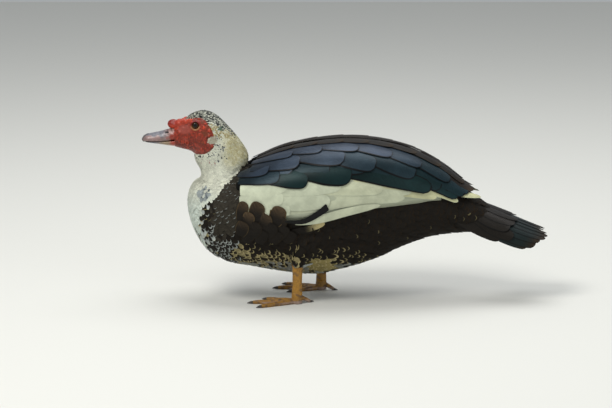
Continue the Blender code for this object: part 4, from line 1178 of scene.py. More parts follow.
def vane(form, powers, path, heights, half_width, tilt, outline, lift):
    """A feather's grid of points and of inner underside points, laid over a form along x and angle.

    Its height over the form goes from the first of the heights at the root to the last at the tip. Its
    lower edge is raised by the tilt, so that it lies over the next feather down. Millimetres and degrees.
    """
    along = 1 - (1 - np.linspace(0, 1, QUILL_ROWS)) ** QUILL_CROWDING
    outline = np.array(outline, float)
    width = np.interp(along, *smooth_line(outline)) * half_width
    way = read_rows(path, along * (len(path) - 1))
    x, angle = way[:, 0] * MM, np.radians(way[:, 1])
    by_x, by_angle = slopes(form, powers, x, angle)
    centre = surface(form, powers, x, angle)
    normal = unit(np.cross(by_x, by_angle))
    side = unit(np.cross(normal, np.gradient(centre, along, axis=0)))
    square = np.stack([np.stack([(p * q).sum(1) for q in (by_x, by_angle)], 1) for p in (by_x, by_angle)], 1)
    target = np.stack([(side * p).sum(1) for p in (by_x, by_angle)], 1)
    move = np.linalg.solve(square, target[..., None])[..., 0]
    across = np.linspace(-1, 1, QUILL_COLUMNS)
    offset = width[:, None] * across * MM
    at_x = x[:, None] + move[:, :1] * offset
    at_angle = angle[:, None] + move[:, 1:] * offset
    place = surface(form, powers, at_x, at_angle)
    out = outward(form, powers, at_x, at_angle)
    height = heights[0] + (heights[1] - heights[0]) * along[:, None]
    height = height + tilt * width[:, None] * across - QUILL_CAMBER * width[:, None] * across**2
    height = height + lift(at_x)
    top = place + out * (height * MM)[..., None]
    under = top - out * FEATHER_THICK * MM
    return top, under[1:-1, 1:-1], width, along


def smooth_line(outline):
    """An outline's shares and widths read finely along a smooth curve."""
    rows = read_rows(outline, np.linspace(0, len(outline) - 1, 60))
    return rows[:, 0], rows[:, 1]


class Quills:
    """Large feathers gathered for one piece, each with a cell of the piece's map."""

    def __init__(self):
        self.rows = []

    def add(self, grid, length, colour, fringe, edge, mirror=1):
        """Takes in one feather, or its mirror image on the other side."""
        top, inner, width, along = grid
        flip = np.array([1, mirror, 1])
        corners = np.concatenate([top.reshape(-1, 3), inner.reshape(-1, 3)]) * flip
        self.rows.append((corners, width, along, length, colour, fringe, edge, mirror))

    def build(self, name, map_start=0.0, map_width=1.0):
        """The gathered feathers as one thing, in cells of the map's width from its start."""
        cells = math.ceil(math.sqrt(len(self.rows)))
        across = np.linspace(-1, 1, QUILL_COLUMNS)
        faces = lens_faces(QUILL_ROWS, QUILL_COLUMNS, True)
        if self.rows[0][7] < 0:
            faces = [face[::-1] for face in faces]
        points, colours, vanes, places, fringes, edges = [], [], [], [], [], []
        for k, (corners, width, along, length, colour, fringe, edge, _) in enumerate(self.rows):
            points.append(corners)
            u, v = np.broadcast_arrays(across[None], along[:, None])
            full = np.stack([u * width[:, None] * MM, v * length * MM], -1) * VANE_SCALE
            column, row = k % cells, k // cells
            cell = np.stack([(u + 1) / 2, v], -1) * CELL_SHARE + CELL_MARGIN
            cell = (cell + (column, row)) / cells * (map_width, 1) + (map_start, 0)
            for grids, grid in ((vanes, full), (places, cell), (colours, colour)):
                grids.append(np.concatenate([grid.reshape(-1, grid.shape[-1]),
                                             grid[1:-1, 1:-1].reshape(-1, grid.shape[-1])]))
            fringes.append(fringe)
            edges.append(edge)
        rows, half = self.rows[0][2], 1 - np.abs(across)
        rim = np.minimum(half[None], ((1 - rows) * QUILL_TIP_RIM)[:, None]).clip(0, 1)
        rim = np.concatenate([rim.ravel(), rim[1:-1, 1:-1].ravel()])
        return feather_object(
            name, np.array(points), faces, np.array(colours), np.array(fringes), np.array(edges), rim,
            np.array(vanes), np.array(places),
        )


def tone(kind, shape, x, angle, along, draw):
    """A large feather's painted colours over its grid, its edge colour and the edge's width."""
    full = np.ones((*shape, 1))
    jitter = 1 + draw.normal(0, TONE_VARIETY)
    if kind == "white":
        # The white runs back into cream that is darkened as painted shade.
        colour = blend(WING_WHITE, WING_CREAM_IN_SHADE, soft_step(x, *CREAM_X)) * jitter
        return full * colour, WING_WHITE * 0.94, 0.06
    if kind == "gloss":
        # Painted sheen: blue on the upper gloss feathers, less of it towards the back, green lower down.
        high = soft_step(angle, *SHEEN_ANGLE) * (1 - SHEEN_LOSS * soft_step(x, *SHEEN_X))
        colour = blend(blend(TEAL, GLOSS_SHEEN_BLUE, high), GREEN, soft_step(angle, *GREEN_ANGLE)) * jitter
        root = (ROOT_SHADE + (1 - ROOT_SHADE) * soft_step(along, *ROOT_FADE))[:, None, None]
        return full * colour * root, BLACK * 0.8, 0.16
    if kind == "flank":
        jitter = 1 + draw.normal(0, FLANK_VARIETY)
        low = soft_step(angle, *FLANK_LOW)
        tip = soft_step(along, *FLANK_TIP)[:, None, None] * (1 - low)
        return full * blend(DARK, FLANK_BROWN * jitter, tip), FLANK_RIM * jitter * (1 - 0.85 * low), 0.14
    start, full_at, root, end, root_varies, end_varies, fringe, width = PLAIN_TONES[kind]
    root, end = root * (jitter if root_varies else 1), end * (jitter if end_varies else 1)
    return full * blend(root, end, soft_step(along, start, full_at)[:, None, None]), fringe, width


def wing_feathers():
    """Every feather of one wing and of the flank before it: path, heights, half width, outline and finish."""
    for kind, outline, feathers in WING_FEATHERS:
        for *path, half, high in feathers:
            path = np.array(path, float).reshape(3, 2)
            length = abs(path[2, 0] - path[0, 0])
            root = min(high - FEATHER_RISE[kind] * length, np.interp(path[0, 0], *FRONT_ROOTS))
            yield path, (root, high), half, outline, kind


def make_wings():
    """Both wings: for each side one piece of the pale feathers, one of the dark ones, one of the flank's."""
    made = []
    for side, sign in SIDES.items():
        draw = np.random.default_rng(WING_SEED)
        flocks = {}
        for path, heights, half, outline, kind in wing_feathers():
            path = path + draw.normal(0, 1, (1, 2)) * PATH_SPREAD
            grid = vane(BODY, BODY_POWERS, path, heights, half, FEATHER_TILT[kind], outline, wing_lift)
            length = np.linalg.norm(np.diff(grid[0][:, QUILL_COLUMNS // 2], axis=0), axis=1).sum() / MM
            x, angle = path.mean(0)
            colour, fringe, edge = tone(kind, grid[0].shape[:2], x, angle, grid[3], draw)
            flock = flocks.setdefault(PIECE_OF.get(kind, kind), Quills())
            flock.add(grid, length, colour, fringe, edge, sign)
        for kind, flock in flocks.items():
            made.append((side, kind, flock.build(f"wing_{side}_{kind}")))
    return made


def wing_core(side):
    """The thin pad under a folded wing's feathers."""
    edges = np.array([(x, upper, angle_at_height(x, z), thick) for x, upper, z, thick in WING])
    start = edges[0, 0]
    xs = start + (WING_CORE_END - start) * np.linspace(0, 1, CORE_ROWS) ** CORE_CROWDING
    x, share = np.meshgrid(xs, np.linspace(0, 1, CORE_COLUMNS), indexing="ij")
    angle, height = wing_place(edges, x, share)
    at = surface(BODY, BODY_POWERS, x * MM, np.radians(angle))
    out = outward(BODY, BODY_POWERS, x * MM, np.radians(angle))
    top = at + out * ((height - CORE_SUNK) * MM + wing_lift(x * MM) * MM)[..., None]
    low = at - out * CORE_UNDER
    flip = np.array([1, SIDES[side], 1])
    rows, columns = x.shape
    points = np.concatenate([top.reshape(-1, 3), low[1:-1, 1:-1].reshape(-1, 3)]) * flip
    faces = lens_faces(rows, columns, True)
    thing = make_mesh(f"wing_{side}_core", points, faces)
    turn_faces_out(thing)
    whites = soft_step(np.concatenate([angle.ravel(), angle[1:-1, 1:-1].ravel()]), *CORE_WHITE)[:, None]
    paint(thing.data, "plumage", blend(BLACK, WING_WHITE * SKIN_SHADE, whites))
    return thing


def make_tail():
    """The fan of tail feathers over its tent, and the coverts over their roots."""
    draw = np.random.default_rng(WING_SEED)
    sides = {1: Quills(), -1: Quills()}
    rows = [("tail", LONG, TAIL_ROOT_X, TAIL_SPREAD, *row, TAIL_FEATHER_HALF) for row in TAIL_FEATHERS]
    rows += [("covert", SHORT, row[1] - TAIL_COVERT_LENGTH, COVERT_SPREAD, *row) for row in TAIL_COVERTS]
    for kind, outline, start, spread, angle, tip, height, half in rows:
        for sign in (1, -1) if angle else (1,):
            tilt = TAIL_FEATHER_TILT if angle or kind == "covert" else 0
            path = [(start, angle * spread[0]), ((start + tip) / 2, angle * spread[1]), (tip, angle)]
            grid = vane(TAIL, TAIL_POWERS, path, (TAIL_ROOT_SINK, height), half, tilt, outline, np.zeros_like)
            colour, fringe, edge = tone(kind, grid[0].shape[:2], tip, angle, grid[3], draw)
            sides[sign].add(grid, tip - start, colour, fringe, edge, sign)
    halves = [sides[1].build("tail_feathers", 0, 0.5), sides[-1].build("tail left", 0.5, 0.5)]
    return join("tail_feathers", halves)


def slice_off(thing, point, normal):
    """Cuts away what lies beyond a plane and closes the cut."""
    pick(thing)
    bpy.ops.object.mode_set(mode="EDIT")
    bpy.ops.mesh.select_all(action="SELECT")
    bpy.ops.mesh.bisect(plane_co=point, plane_no=normal, use_fill=True, clear_outer=True)
    bpy.ops.object.mode_set(mode="OBJECT")


def face_base():
    """The head's form, at its full size inside the bare face's outline and sunk under the plumage outside."""
    thing = form_object("face", HEAD, HEAD_POWERS, 96, 14)
    points, normals = corners_of(thing.data), normals_of(thing.data)
    sunk = np.clip(-mask_depth(points), 0, SINK_MOST) * SINK_SHARE
    put_corners(thing.data, points + normals * ((FACE_LIFT - sunk) * MM)[:, None])
    slice_off(thing, NAPE_CUT, (1, 0, 0))
    slice_off(thing, THROAT_CUT, (0, 0, -1))
    return thing


def face_bumps(base, draw):
    """Bulbs, ridges, knob and lids, half sunk in the bare skin of both sides."""
    skin = tree_of(base)
    for x, y, z, *half in KNOB_LOBES:
        for sign in (-1, 1) if y else (1,):
            yield ball("lobe", (x * MM, y * sign * MM, z * MM), [h * MM for h in half], 4)
    for sign in SIDES.values():
        toward = Vector((0, -sign, 0))
        placed = []
        for count, x, z, half_x, half_z, small, large in BULB_PATCHES:
            for _ in range(count):
                turn, reach = draw.uniform(0, math.tau), math.sqrt(draw.uniform(0, 1))
                at = np.array((x + half_x * reach * math.cos(turn), z + half_z * reach * math.sin(turn)))
                radius = draw.uniform(small, large)
                flat = np.array([[at[0], 0, at[1]]]) * MM
                near_eye = math.hypot(at[0] - EYE[0] / MM, at[1] - EYE[2] / MM) < EYE_ROOM + radius
                crowded = any(math.dist(at, p) < BULB_ROOM * (radius + r) for p, r in placed)
                if near_eye or crowded or mask_depth(flat)[0] < radius * OUTLINE_ROOM:
                    continue
                hit = skin.ray_cast(Vector((at[0] * MM, sign * RAY_FROM, at[1] * MM)), toward)[0]
                if hit is None:
                    continue
                placed.append((at, radius))
                tall = radius * draw.uniform(*BULB_TALL)
                yield ball("bulb", hit, [radius * MM, radius * BULB_FLAT * MM, tall * MM], 2)
        for x, z, half in CHEEK_RIDGES:
            hit = skin.ray_cast(Vector((x * MM, sign * RAY_FROM, z * MM)), toward)[0]
            yield ball("ridge", hit, (RIDGE_WIDE * MM, RIDGE_DEEP * MM, half * MM), 3)
        bpy.ops.mesh.primitive_torus_add(
            major_segments=40, minor_segments=12, major_radius=1, minor_radius=LID_THICK / LID_HALF_X
        )
        lid = bpy.context.object
        stretch = np.array((LID_HALF_X, LID_THICK * LID_DEEP, LID_HALF_Z))
        middle = np.array((EYE[0], sign * LID_Y, EYE[2]))
        put_corners(lid.data, corners_of(lid.data)[:, [0, 2, 1]] * stretch + middle)
        yield lid


def make_face():
    """The bare caruncled face: one skin with knob, bulbs, ridges and lids, pitted finely all over."""
    base = face_base()
    flat = tree_of(base)
    draw = random.Random(FACE_SEED)
    face = join("face_skin", [base, *face_bumps(base, draw)])
    melt(face, FACE_CELL, FACE_SMOOTH)
    points, normals = corners_of(face.data), normals_of(face.data)
    x, _, z = (points / MM).T
    eye_far = np.hypot(x - EYE[0] / MM, z - EYE[2] / MM)
    lores = soft_step(oval(x, z, *LORES), *LORES_FADE)
    knob = soft_step(oval(x, z, *KNOB), *KNOB_FADE)
    rough = lores * (1 - (1 - KNOB_ROUGH) * knob) * soft_step(eye_far, *EYE_SMOOTH)
    pits = PIT_MIDDLE - cells_at(points, PIT_SCALE)
    lift = pits * PIT_DEPTH * rough + noise_at(points, PORE_SCALE) * PORE_DEPTH
    moved = points + normals * (lift * MM)[:, None]
    socket = eye_far < SOCKET
    moved[socket, 1] = (np.sign(moved[:, 1]) * SOCKET_DEPTH)[socket]
    put_corners(face.data, moved)
    over = np.array([flat.find_nearest(p)[3] for p in points]) / MM
    # Painted light: lighter where the skin stands high over the head's form and on the pits' raised middles,
    # an even level on the knob.
    high = soft_step(over, *BULB_LIGHT_STEP) * BULB_SHARE + soft_step(pits, *PIT_LIGHT_STEP) * PIT_SHARE * rough
    high = np.where(knob * lores > KNOB_INSIDE, KNOB_TINT, high)
    patches = patches_at(moved, FACE_PATCH_SCALE)
    colour = RED * (0.5 + 0.75 * high)[:, None] * (0.8 + 0.4 * patches)[:, None]
    # Painted shade: darker low on the face.
    colour = colour * (1 - FACE_LOW_SHADE * soft_step(z, *FACE_LOW))[:, None]
    cheek = soft_step(patches, *PINK_PATCH) * soft_step(z, *PINK_Z)
    layers = (
        # Painted shade: darker red in the pits' hollows.
        (GROOVE_SHADE_RED, GROOVE_SHARE * soft_step(pits, *GROOVE_SHADE_STEP) * rough),
        (OLIVE_RED, OLIVE_SHARE * soft_step(patches, *OLIVE_PATCH) * soft_step(x, *OLIVE_X) * lores),
        (PINK, LORES_PINK * (1 - lores) + CHEEK_PINK * cheek),
        (DEEP_RED, KNOB_DARK * soft_step(x, *KNOB_FRONT_X) * soft_step(z, *KNOB_FRONT_Z)),
    )
    for paint_colour, share in layers:
        colour = blend(colour, paint_colour, share[:, None])
    lid = soft_step(eye_far, *LID_OUT) * soft_step(eye_far, *LID_IN)
    lid_colour = blend(DEEP_RED, LID_TAN, soft_step(EYE[2] / MM - z, *LID_LOW)[:, None])
    colour = blend(colour, lid_colour, lid[:, None])
    colour[socket] = DEEP_RED * SOCKET_SHADE
    paint(face.data, "plumage", colour)
    return face


def make_eye(side):
    """A dark eye with a thin brown iris."""
    sign = SIDES[side]
    bpy.ops.mesh.primitive_uv_sphere_add(segments=64, ring_count=48, radius=EYE_RADIUS)
    eye = bpy.context.object
    eye.name = f"eyeball_{side}"
    points = corners_of(eye.data)
    turned = points[:, [0, 2, 1]] * (1, sign, 1)
    lean = np.degrees(np.arccos(np.clip(turned[:, 1] * sign / EYE_RADIUS, -1, 1)))
    put_corners(eye.data, turned + np.array((EYE[0], EYE[1] * sign, EYE[2])))
    turn_faces_out(eye)
    iris = (soft_step(lean, *IRIS_IN) * soft_step(lean, *IRIS_OUT))[:, None]
    shade = (0.7 + 0.6 * soft_step(turned[:, 2], *IRIS_LIGHT))[:, None]
    paint(eye.data, "plumage", blend(PUPIL, IRIS * shade, iris))
    eye.data.shade_smooth()
    return eye


def make_bills():
    """Upper bill with nail, nostrils and rolled edge, and lower bill, red at the root and dark at the tip."""
    upper = form_object("upper_bill", UPPER_BILL, BILL_POWERS, 72, 16)
    points, normals = corners_of(upper.data), normals_of(upper.data)
    x, y, z = (points / MM).T
    hole = oval(x, z, NOSTRIL[0], NOSTRIL[2], *NOSTRIL_HALF) + (np.abs(y) < NOSTRIL_SIDE) * 9
    nail = oval(x, y, *NAIL)
    ripple = np.sin((x + 300) * 0.55 + z * 0.9) * RIPPLE * soft_step(x, *RIPPLE_X)
    lift = NOSTRIL_DEPTH * soft_step(hole, *NOSTRIL_STEP)
    lift = lift + NAIL_LIFT * soft_step(hole, *NOSTRIL_RIM) * (hole > 1)
    lift = lift + NAIL_LIFT * soft_step(nail, *NAIL_STEP) * soft_step(x, *NAIL_TIP)
    lift = lift + BILL_RIM * soft_step(z, *BILL_RIM_Z) * soft_step(x, *BILL_RIM_X) + ripple
    put_corners(upper.data, points + normals * (lift * MM)[:, None])
    patches = patches_at(points, BILL_PATCH_SCALE)
    ragged = patches - 0.5
    base = soft_step(x, *UPPER_BASE)
    side = soft_step(SIDE_Z - z + ragged * SIDE_RAGGED, *SIDE_FADE) * (1 - base)
    colour = blend(BILL_GREY, BILL_PINK, base[:, None])
    colour = blend(colour, BILL_EDGE, side[:, None]) * (0.82 + 0.36 * patches)[:, None]
    streak = soft_step(z, *STREAK_Z) * soft_step(np.sin(x * 0.9 + z * 0.5), *STREAK_FADE) * STREAK_SHARE
    tip = soft_step(nail, *NAIL_TINT) * NAIL_SHARE + soft_step(x, *TIP_X) * TIP_SHARE
    wedge = soft_step(x - WEDGE_X - np.abs(z - WEDGE_Z) * WEDGE_SPREAD + ragged * WEDGE_RAGGED, *WEDGE_FADE)
    # Painted shade in the nostrils and along the gape.
    dark = np.maximum(soft_step(hole, *NOSTRIL_SHADE_STEP), soft_step(z, *GAPE_Z) * GAPE_SHARE)
    tip = tip.clip(0, DARKEST_TIP)
    layers = ((0, streak), (BILL_DARK, tip), (RED * WEDGE_SHADE, wedge), (BILL_DARK * GAPE_SHADE, dark))
    for paint_colour, share in layers:
        colour = blend(colour, paint_colour, share[:, None])
    paint(upper.data, "plumage", colour)
    lower = form_object("lower_bill", LOWER_BILL, BILL_POWERS, 56, 12)
    points = corners_of(lower.data)
    x = points[:, :1] / MM
    colour = blend(BILL_GREY, BILL_TAN, soft_step(x, *LOWER_BASE))
    colour = colour * (0.8 + 0.4 * patches_at(points, BILL_PATCH_SCALE))[:, None]
    colour = blend(colour, BILL_DARK, soft_step(x, *LOWER_TIP) * LOWER_TIP_SHARE)
    paint(lower.data, "plumage", blend(colour, RED * 0.8, soft_step(x, *LOWER_RED)))
    return upper, lower


def toe_path(heel, side, angle, length, count=9):
    """A front toe's path with its radii, swollen at the joints, and its way over the ground."""
    turn = math.radians(angle) * -SIDES[side]
    way = np.array((-math.cos(turn), math.sin(turn), 0))
    shares = np.linspace(0, 1, count)
    radii = TOE_ROOT + (TOE_END - TOE_ROOT) * shares
    knuckles = 1 + TOE_SWELL * np.cos(shares * math.tau * TOE_JOINTS)
    path = heel + way * (length * shares)[:, None] + np.outer(radii * TOE_SINK, (0, 0, 1))
    return path, radii * knuckles, way


def web(heel, side):
    """The web between the front toes, thin and a little wrinkled."""
    ends = [heel + toe_path(heel, side, a, l)[2] * (l - WEB_FROM_TIP) for a, l in TOES.values()]
    rim = []
    for a, b in zip(ends, ends[1:]):
        middle = (a + b) / 2 + (heel - (a + b) / 2) * WEB_NOTCH
        bow = (heel - middle) * WEB_CURVE
        rim += [a, (a + middle) / 2 + bow, middle, (b + middle) / 2 + bow]
    rim.append(ends[-1])
    rim = read_rows(np.array(rim), np.linspace(0, len(rim) - 1, WEB_ACROSS))
    rings = np.array([heel + (rim - heel) * s for s in np.linspace(WEB_ROOT, 1, WEB_ALONG)])
    ripple = np.sin(np.linspace(0, WEB_RIPPLES, WEB_ACROSS)) * np.linspace(0, 1, WEB_ALONG)[:, None]
    ripple = ripple * WEB_RIPPLE
    top, low = rings.copy(), rings.copy()
    top[..., 2] = WEB_MIDDLE + WEB_THICK + ripple
    low[..., 2] = WEB_MIDDLE - WEB_THICK + ripple
    points = np.concatenate([top.reshape(-1, 3), low[1:-1, 1:-1].reshape(-1, 3)])
    thing = make_mesh("web", points, lens_faces(WEB_ALONG, WEB_ACROSS, True))
    turn_faces_out(thing)
    return thing


def read_tube(name, heel, table, rows, around, flatness=1.0):
    """A tube above the heel from rows of x, y, height and radius, read along a smooth curve."""
    table = [(*(heel + row[:3]), row[3]) for row in table]
    path = read_rows(table, np.linspace(0, len(table) - 1, rows))
    return tube_object(name, path[:, :3], path[:, 3], around, flatness)


def make_foot(side):
    """Shank, ankle, toes, hind toe and web as one scaled skin, and the four claws."""
    heel = HEELS[side]
    back = unit(np.array((HIND_TOE_WAY[0], HIND_TOE_WAY[1] * SIDES[side], 0)))
    hind = [(*back[:2] * d, z, r) for d, z, r in HIND_TOE]
    parts = [
        read_tube("foot", heel, [(LEG_LEAN * h, 0, h, r) for h, r in LEG], 20, 32, LEG_FLATNESS),
        read_tube("ankle", heel, [(x, 0, z, r) for x, z, r in ANKLE], len(ANKLE), 24),
        web(heel, side),
    ]
    claws = []
    for angle, length in TOES.values():
        path, radii, way = toe_path(heel, side, angle, length)
        parts.append(tube_object("toe", path, radii, 20))
        claws.append(make_claw(path[-1], way, 1.0))
    parts.append(read_tube("hind toe", heel, hind, 7, 18))
    end, before = (heel + np.array(row[:3]) for row in (hind[-1], hind[-2]))
    claws.append(make_claw(end, unit(end - before), HIND_CLAW_SIZE))
    foot = join(f"foot_skin_{side}", parts)
    melt(foot, FOOT_CELL, FOOT_SMOOTH)
    scale_foot(foot, heel, side)
    return foot, join(f"claws_{side}", claws)


def scale_foot(foot, heel, side):
    """Raises the scutes and the net of small scales on a foot, and paints it."""
    points, normals = corners_of(foot.data), normals_of(foot.data)
    points[:, 2] = np.maximum(points[:, 2], FOOT_LOWEST)
    placed = points - heel
    up = placed[:, 2]
    way_out = np.full(len(points), np.inf)
    along = np.zeros(len(points))
    for angle, length in TOES.values():
        way = toe_path(heel, side, angle, length)[2][:2]
        t = np.clip(placed[:, :2] @ way, 0, length)
        far = np.linalg.norm(placed[:, :2] - t[:, None] * way, axis=1)
        along = np.where(far < way_out, t, along)
        way_out = np.minimum(way_out, far)
    on_toe = soft_step(way_out, *TOE_SIDE) * soft_step(up, *TOE_LOW) * soft_step(up, *TOE_HIGH)
    on_toe = on_toe * soft_step(along, *TOE_START)
    on_shank = soft_step(up, *SHANK_FROM) * soft_step(-normals[:, 0], *SHANK_FRONT)
    webbed = soft_step(way_out, *WEB_SIDE) * soft_step(up, *WEB_HIGH)
    saw_shank, saw_toe = (up / SCUTE) % 1, (along / TOE_SCUTE) % 1
    net = NET_MIDDLE - cells_at(points, NET_SCALE)
    lift = (on_shank * (saw_shank - 0.5) + on_toe * (0.5 - saw_toe)) * SCUTE_DEPTH
    lift = lift + net * NET_DEPTH * (1 - on_toe) * (1 - on_shank)
    lift = np.where(points[:, 2] > FOOT_FLAT, lift * (1 - WEB_SMOOTH * webbed), 0)
    put_corners(foot.data, points + normals * lift[:, None])
    patches = patches_at(points, LEG_PATCH_SCALE)
    seam = np.maximum(on_toe * soft_step(saw_toe, *TOE_SEAM), on_shank * soft_step(saw_shank, *SHANK_SEAM))
    brown = soft_step(patches, *LEG_PATCH) * 0.8 + 0.5 * seam + 0.3 * soft_step(up, *SOLE_TINT)
    colour = blend(OCHRE, OCHRE_DARK, brown.clip(0, 1)[:, None])
    paint(foot.data, "plumage", blend(colour, WEB_PINK * (0.75 + 0.5 * patches[:, None]), webbed[:, None]))


def make_claw(end, way, size):
    """A claw that goes on from a toe's end and bends down to the ground."""
    flat = unit(np.array((way[0], way[1], 0)))
    drop = max(end[2] - CLAW_TIP_HEIGHT, 0)
    rows = read_rows(CLAW, np.linspace(0, len(CLAW) - 1, 16))
    path = [end + flat * (CLAW_LENGTH * size * a) - np.array((0, 0, drop * d)) for a, _, d in rows]
    claw = tube_object("claw", path, rows[:, 1] * CLAW_ROOT * size, 16, CLAW_FLATNESS)
    shade = noise_at(corners_of(claw.data), CLAW_NOISE_SCALE) * CLAW_NOISE + 1
    paint(claw.data, "plumage", CLAW_DARK * shade[:, None])
    return claw


def nodes_of(name, **inputs):
    """A new material with its nodes and shader, some of the shader's inputs set."""
    made = bpy.data.materials.new(name)
    made.use_nodes = True
    tree = made.node_tree
    shader = tree.nodes["Principled BSDF"]
    for key, value in inputs.items():
        shader.inputs[key.replace("_", " ")].default_value = value
    return made, tree, shader


def plug(tree, value, socket):
    """Links a node's output to a socket, or sets the socket to a constant."""
    if hasattr(value, "is_output"):
        tree.links.new(value, socket)
    else:
        socket.default_value = value


def add(tree, kind, inputs=(), **settings):
    """A new node with its settings, and values or links for its inputs by number or name."""
    node = tree.nodes.new(kind)
    for key, value in settings.items():
        setattr(node, key, value)
    for key, value in inputs:
        plug(tree, value, node.inputs[key])
    return node


def multiply(tree, first, second):
    """The product of two colours."""
    inputs = ((0, 1.0), (6, first), (7, second))
    return add(tree, "ShaderNodeMix", inputs, data_type="RGBA", blend_type="MULTIPLY").outputs[2]


def maths(tree, operation, *values):
    """The outcome of a sum of numbers."""
    return add(tree, "ShaderNodeMath", enumerate(values), operation=operation).outputs[0]


def ramp(tree, source, *limits):
    """A number brought smoothly from low and high limits to new ones."""
    inputs = enumerate((source, *limits))
    return add(tree, "ShaderNodeMapRange", inputs, interpolation_type="SMOOTHSTEP").outputs[0]


def attribute(tree, name, output):
    """A value painted on the mesh."""
    node = add(tree, "ShaderNodeAttribute", attribute_type="GEOMETRY", attribute_name=name)
    return node.outputs[output]


def noise_of(tree, vector, scale, detail=3.0):
    """Soft noise over a place."""
    inputs = (("Scale", scale), ("Detail", detail), ("Roughness", NOISE_ROUGHNESS), ("Vector", vector))
    return add(tree, "ShaderNodeTexNoise", inputs, noise_dimensions="3D").outputs[0]


def object_place(tree):
    """The place on the object itself."""
    return add(tree, "ShaderNodeTexCoord").outputs["Object"]


def grey(tree, value):
    """A number as a grey colour."""
    return add(tree, "ShaderNodeCombineColor", [(k, value) for k in range(3)]).outputs[0]


def bump(tree, shader, height, distance, strength):
    """Raises the surface's shading by a height."""
    inputs = (("Strength", strength), ("Distance", distance), ("Height", height))
    plug(tree, add(tree, "ShaderNodeBump", inputs).outputs[0], shader.inputs["Normal"])


def plumage_material(name, roughness, metallic=0.0, barbs=0.35, gloss=0.25):
    """Feathers: the painted colour, a rim of the edge colour, and fine barbs that slant off the shaft."""
    made, tree, shader = nodes_of(name, Roughness=roughness, Metallic=metallic, Specular_IOR_Level=gloss)
    edge = attribute(tree, "edge", "Fac")
    inner = ramp(tree, attribute(tree, "rim", "Fac"), maths(tree, "MULTIPLY", edge, EDGE_FADE), edge)
    vane = add(tree, "ShaderNodeUVMap", uv_map="vane").outputs[0]
    across, along, _ = add(tree, "ShaderNodeSeparateXYZ", ((0, vane),)).outputs
    slant = maths(tree, "SUBTRACT", along, maths(tree, "ABSOLUTE", across))
    stretched = (maths(tree, "MULTIPLY", slant, BARB_SCALE), maths(tree, "MULTIPLY", across, BARB_ACROSS))
    lines = noise_of(tree, add(tree, "ShaderNodeCombineXYZ", enumerate(stretched)).outputs[0], 1.0)
    patches = noise_of(tree, object_place(tree), PLUMAGE_PATCH_SCALE)
    colours = ((0, inner), (6, attribute(tree, "fringe", "Color")), (7, attribute(tree, "plumage", "Color")))
    colour = add(tree, "ShaderNodeMix", colours, data_type="RGBA").outputs[2]
    dark_lines = ramp(tree, lines, *BARB_LINES, -barbs, barbs)
    tone = maths(tree, "ADD", ramp(tree, patches, *PLUMAGE_PATCHES), dark_lines)
    plug(tree, multiply(tree, colour, grey(tree, tone)), shader.inputs["Base Color"])
    bump(tree, shader, lines, BARB_DEPTH, BARB_STRENGTH)
    return made


def skin_material(name):
    """The skin under the plumage: dull, in the plumage's colours."""
    made, tree, shader = nodes_of(name, Roughness=0.8, Specular_IOR_Level=0.1)
    plug(tree, attribute(tree, "plumage", "Color"), shader.inputs["Base Color"])
    return made


def bare_material(name, roughness, mottle, scale, depth, coat=0.0, subsurface=0.0, gloss=0.5):
    """Bare skin and horn: the painted colour, mottled, with fine pores and wrinkles."""
    made, tree, shader = nodes_of(
        name, Roughness=roughness, Specular_IOR_Level=gloss, Coat_Weight=coat, Coat_Roughness=COAT_ROUGHNESS,
        Subsurface_Weight=subsurface, Subsurface_Radius=SUBSURFACE_RADIUS,
    )
    at = object_place(tree)
    tone = ramp(tree, noise_of(tree, at, scale, 4.0), *MOTTLE_STEP, 1 - mottle, 1 + mottle)
    colour = multiply(tree, attribute(tree, "plumage", "Color"), grey(tree, tone))
    plug(tree, colour, shader.inputs["Base Color"])
    bump(tree, shader, noise_of(tree, at, scale * PORE_FINENESS), depth, PORE_STRENGTH)
    return made


def wear(thing, finish):
    """Gives a thing its one material."""
    thing.data.materials.clear()
    thing.data.materials.append(finish)


def place(thing, slot, *nodes):
    """Rides on the bird and stands for its solids, which it hides. The slot is not used."""
    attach(thing, "root")
    if nodes:
        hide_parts(*nodes)


def make_floor():
    """The pale floor, that stays out of the exported model."""
    bpy.ops.mesh.primitive_plane_add(size=FLOOR_SIZE, location=(0, 0, 0))
    floor = bpy.context.object
    floor.name = "floor"
    wear(floor, nodes_of("pale floor", Base_Color=FLOOR_COLOUR, Roughness=FLOOR_ROUGHNESS)[0])


def aim(thing, at, target):
    """Puts a light or the camera at a place and turns it towards a target."""
    bpy.context.scene.collection.objects.link(thing)
    thing.location = at
    thing.rotation_euler = (Vector(target) - Vector(at)).to_track_quat("-Z", "Y").to_euler()


def make_lights():
    """Three soft lights and a pale world."""
    for name, (at, size, power, colour) in LIGHTS.items():
        lamp = bpy.data.lights.new(name, "AREA")
        lamp.size, lamp.energy, lamp.color = size, power, colour
        aim(bpy.data.objects.new(name, lamp), at, LIGHTS_AIM)
    world = bpy.data.worlds.new("studio")
    world.use_nodes = True
    background = world.node_tree.nodes["Background"]
    background.inputs[0].default_value = WORLD_COLOUR
    background.inputs[1].default_value = WORLD_STRENGTH
    bpy.context.scene.world = world


def make_camera():
    """The photograph's view: level with the bird's left side and a little above it."""
    lens = bpy.data.cameras.new("camera")
    lens.sensor_width, lens.lens = SENSOR_WIDTH, CAMERA_LENS
    thing = bpy.data.objects.new("camera", lens)
    rise, target = math.radians(CAMERA_RISE), Vector(CAMERA_TARGET)
    aim(thing, target + CAMERA_DISTANCE * Vector((0, -math.cos(rise), math.sin(rise))), target)
    bpy.context.scene.camera = thing


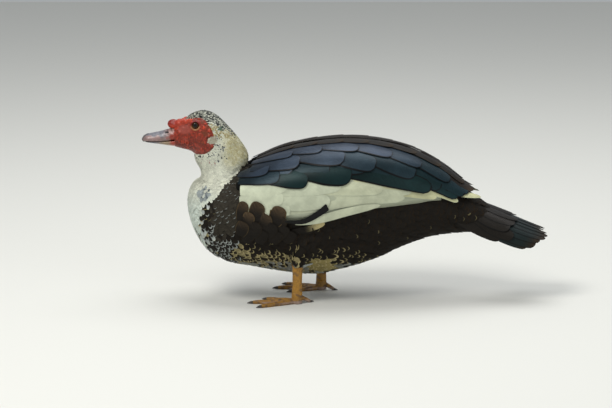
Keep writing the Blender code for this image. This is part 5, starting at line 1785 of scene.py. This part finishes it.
def dress():
    """Makes every piece, with its finish and the solids it stands for."""
    skin = make_skin()
    under = skin_material("skin under the plumage")
    wear(skin, under)
    place(skin, "dark_plumage", "torso", "head", "neck_upper", "neck_lower", "thigh_left", "thigh_right")
    soft = plumage_material("soft plumage", 0.75, gloss=0.12)
    for coat in make_coat(skin):
        wear(coat, soft)
        place(coat, "white_plumage" if coat.name in ("coat_head", "coat_neck") else "dark_plumage")
    finishes = {
        "white": plumage_material("white wing feathers", 0.6, barbs=0.06),
        "gloss": plumage_material("glossed wing feathers", 0.36, metallic=0.35, barbs=0.2, gloss=0.2),
        "back": plumage_material("dark wing feathers", 0.5, barbs=0.25, gloss=0.14),
        "flank": plumage_material("brown flank feathers", 0.65, barbs=0.4, gloss=0.12),
    }
    for side, kind, piece in make_wings():
        wear(piece, finishes[kind])
        if kind == "flank":
            place(piece, "dark_plumage")
        else:
            place(piece, "wing_plumage", f"wing_{side}")
    for side in SIDES:
        core = wing_core(side)
        wear(core, under)
        place(core, "wing_plumage", f"wing_{side}")
    tail = make_tail()
    wear(tail, plumage_material("tail feathers", 0.45, metallic=0.15, barbs=0.2, gloss=0.16))
    place(tail, "tail_plumage", "tail")
    face = make_face()
    wear(face, bare_material("red bare skin", 0.42, 0.16, 260, 0.00015, coat=0.06, subsurface=0.1, gloss=0.3))
    place(face, "red_caruncles", "face")
    horn = bare_material("bill horn", 0.36, 0.12, 300, 0.00006, coat=0.1)
    for bill, node in zip(make_bills(), ("bill_upper", "bill_lower")):
        wear(bill, horn)
        place(bill, "bill_horn", node)
    wet = bare_material("eye", 0.05, 0.05, 900, 0.0, gloss=0.22)
    scaly = bare_material("scaly leg skin", 0.55, 0.2, 320, 0.00012)
    claw_finish = bare_material("dark claw horn", 0.35, 0.2, 500, 0.00004)
    for side in SIDES:
        eye = make_eye(side)
        wear(eye, wet)
        place(eye, "dark_eye", f"eye_{side}")
        foot, claws = make_foot(side)
        wear(foot, scaly)
        place(foot, "leg_skin", f"leg_{side}", f"foot_{side}")
        wear(claws, claw_finish)
        place(claws, "claw_horn", *[f"claw_{side}_{toe}" for toe in (*TOES, "hind")])


bpy.context.scene.view_settings.view_transform = "Standard"
dress()
make_floor()
make_lights()
make_camera()
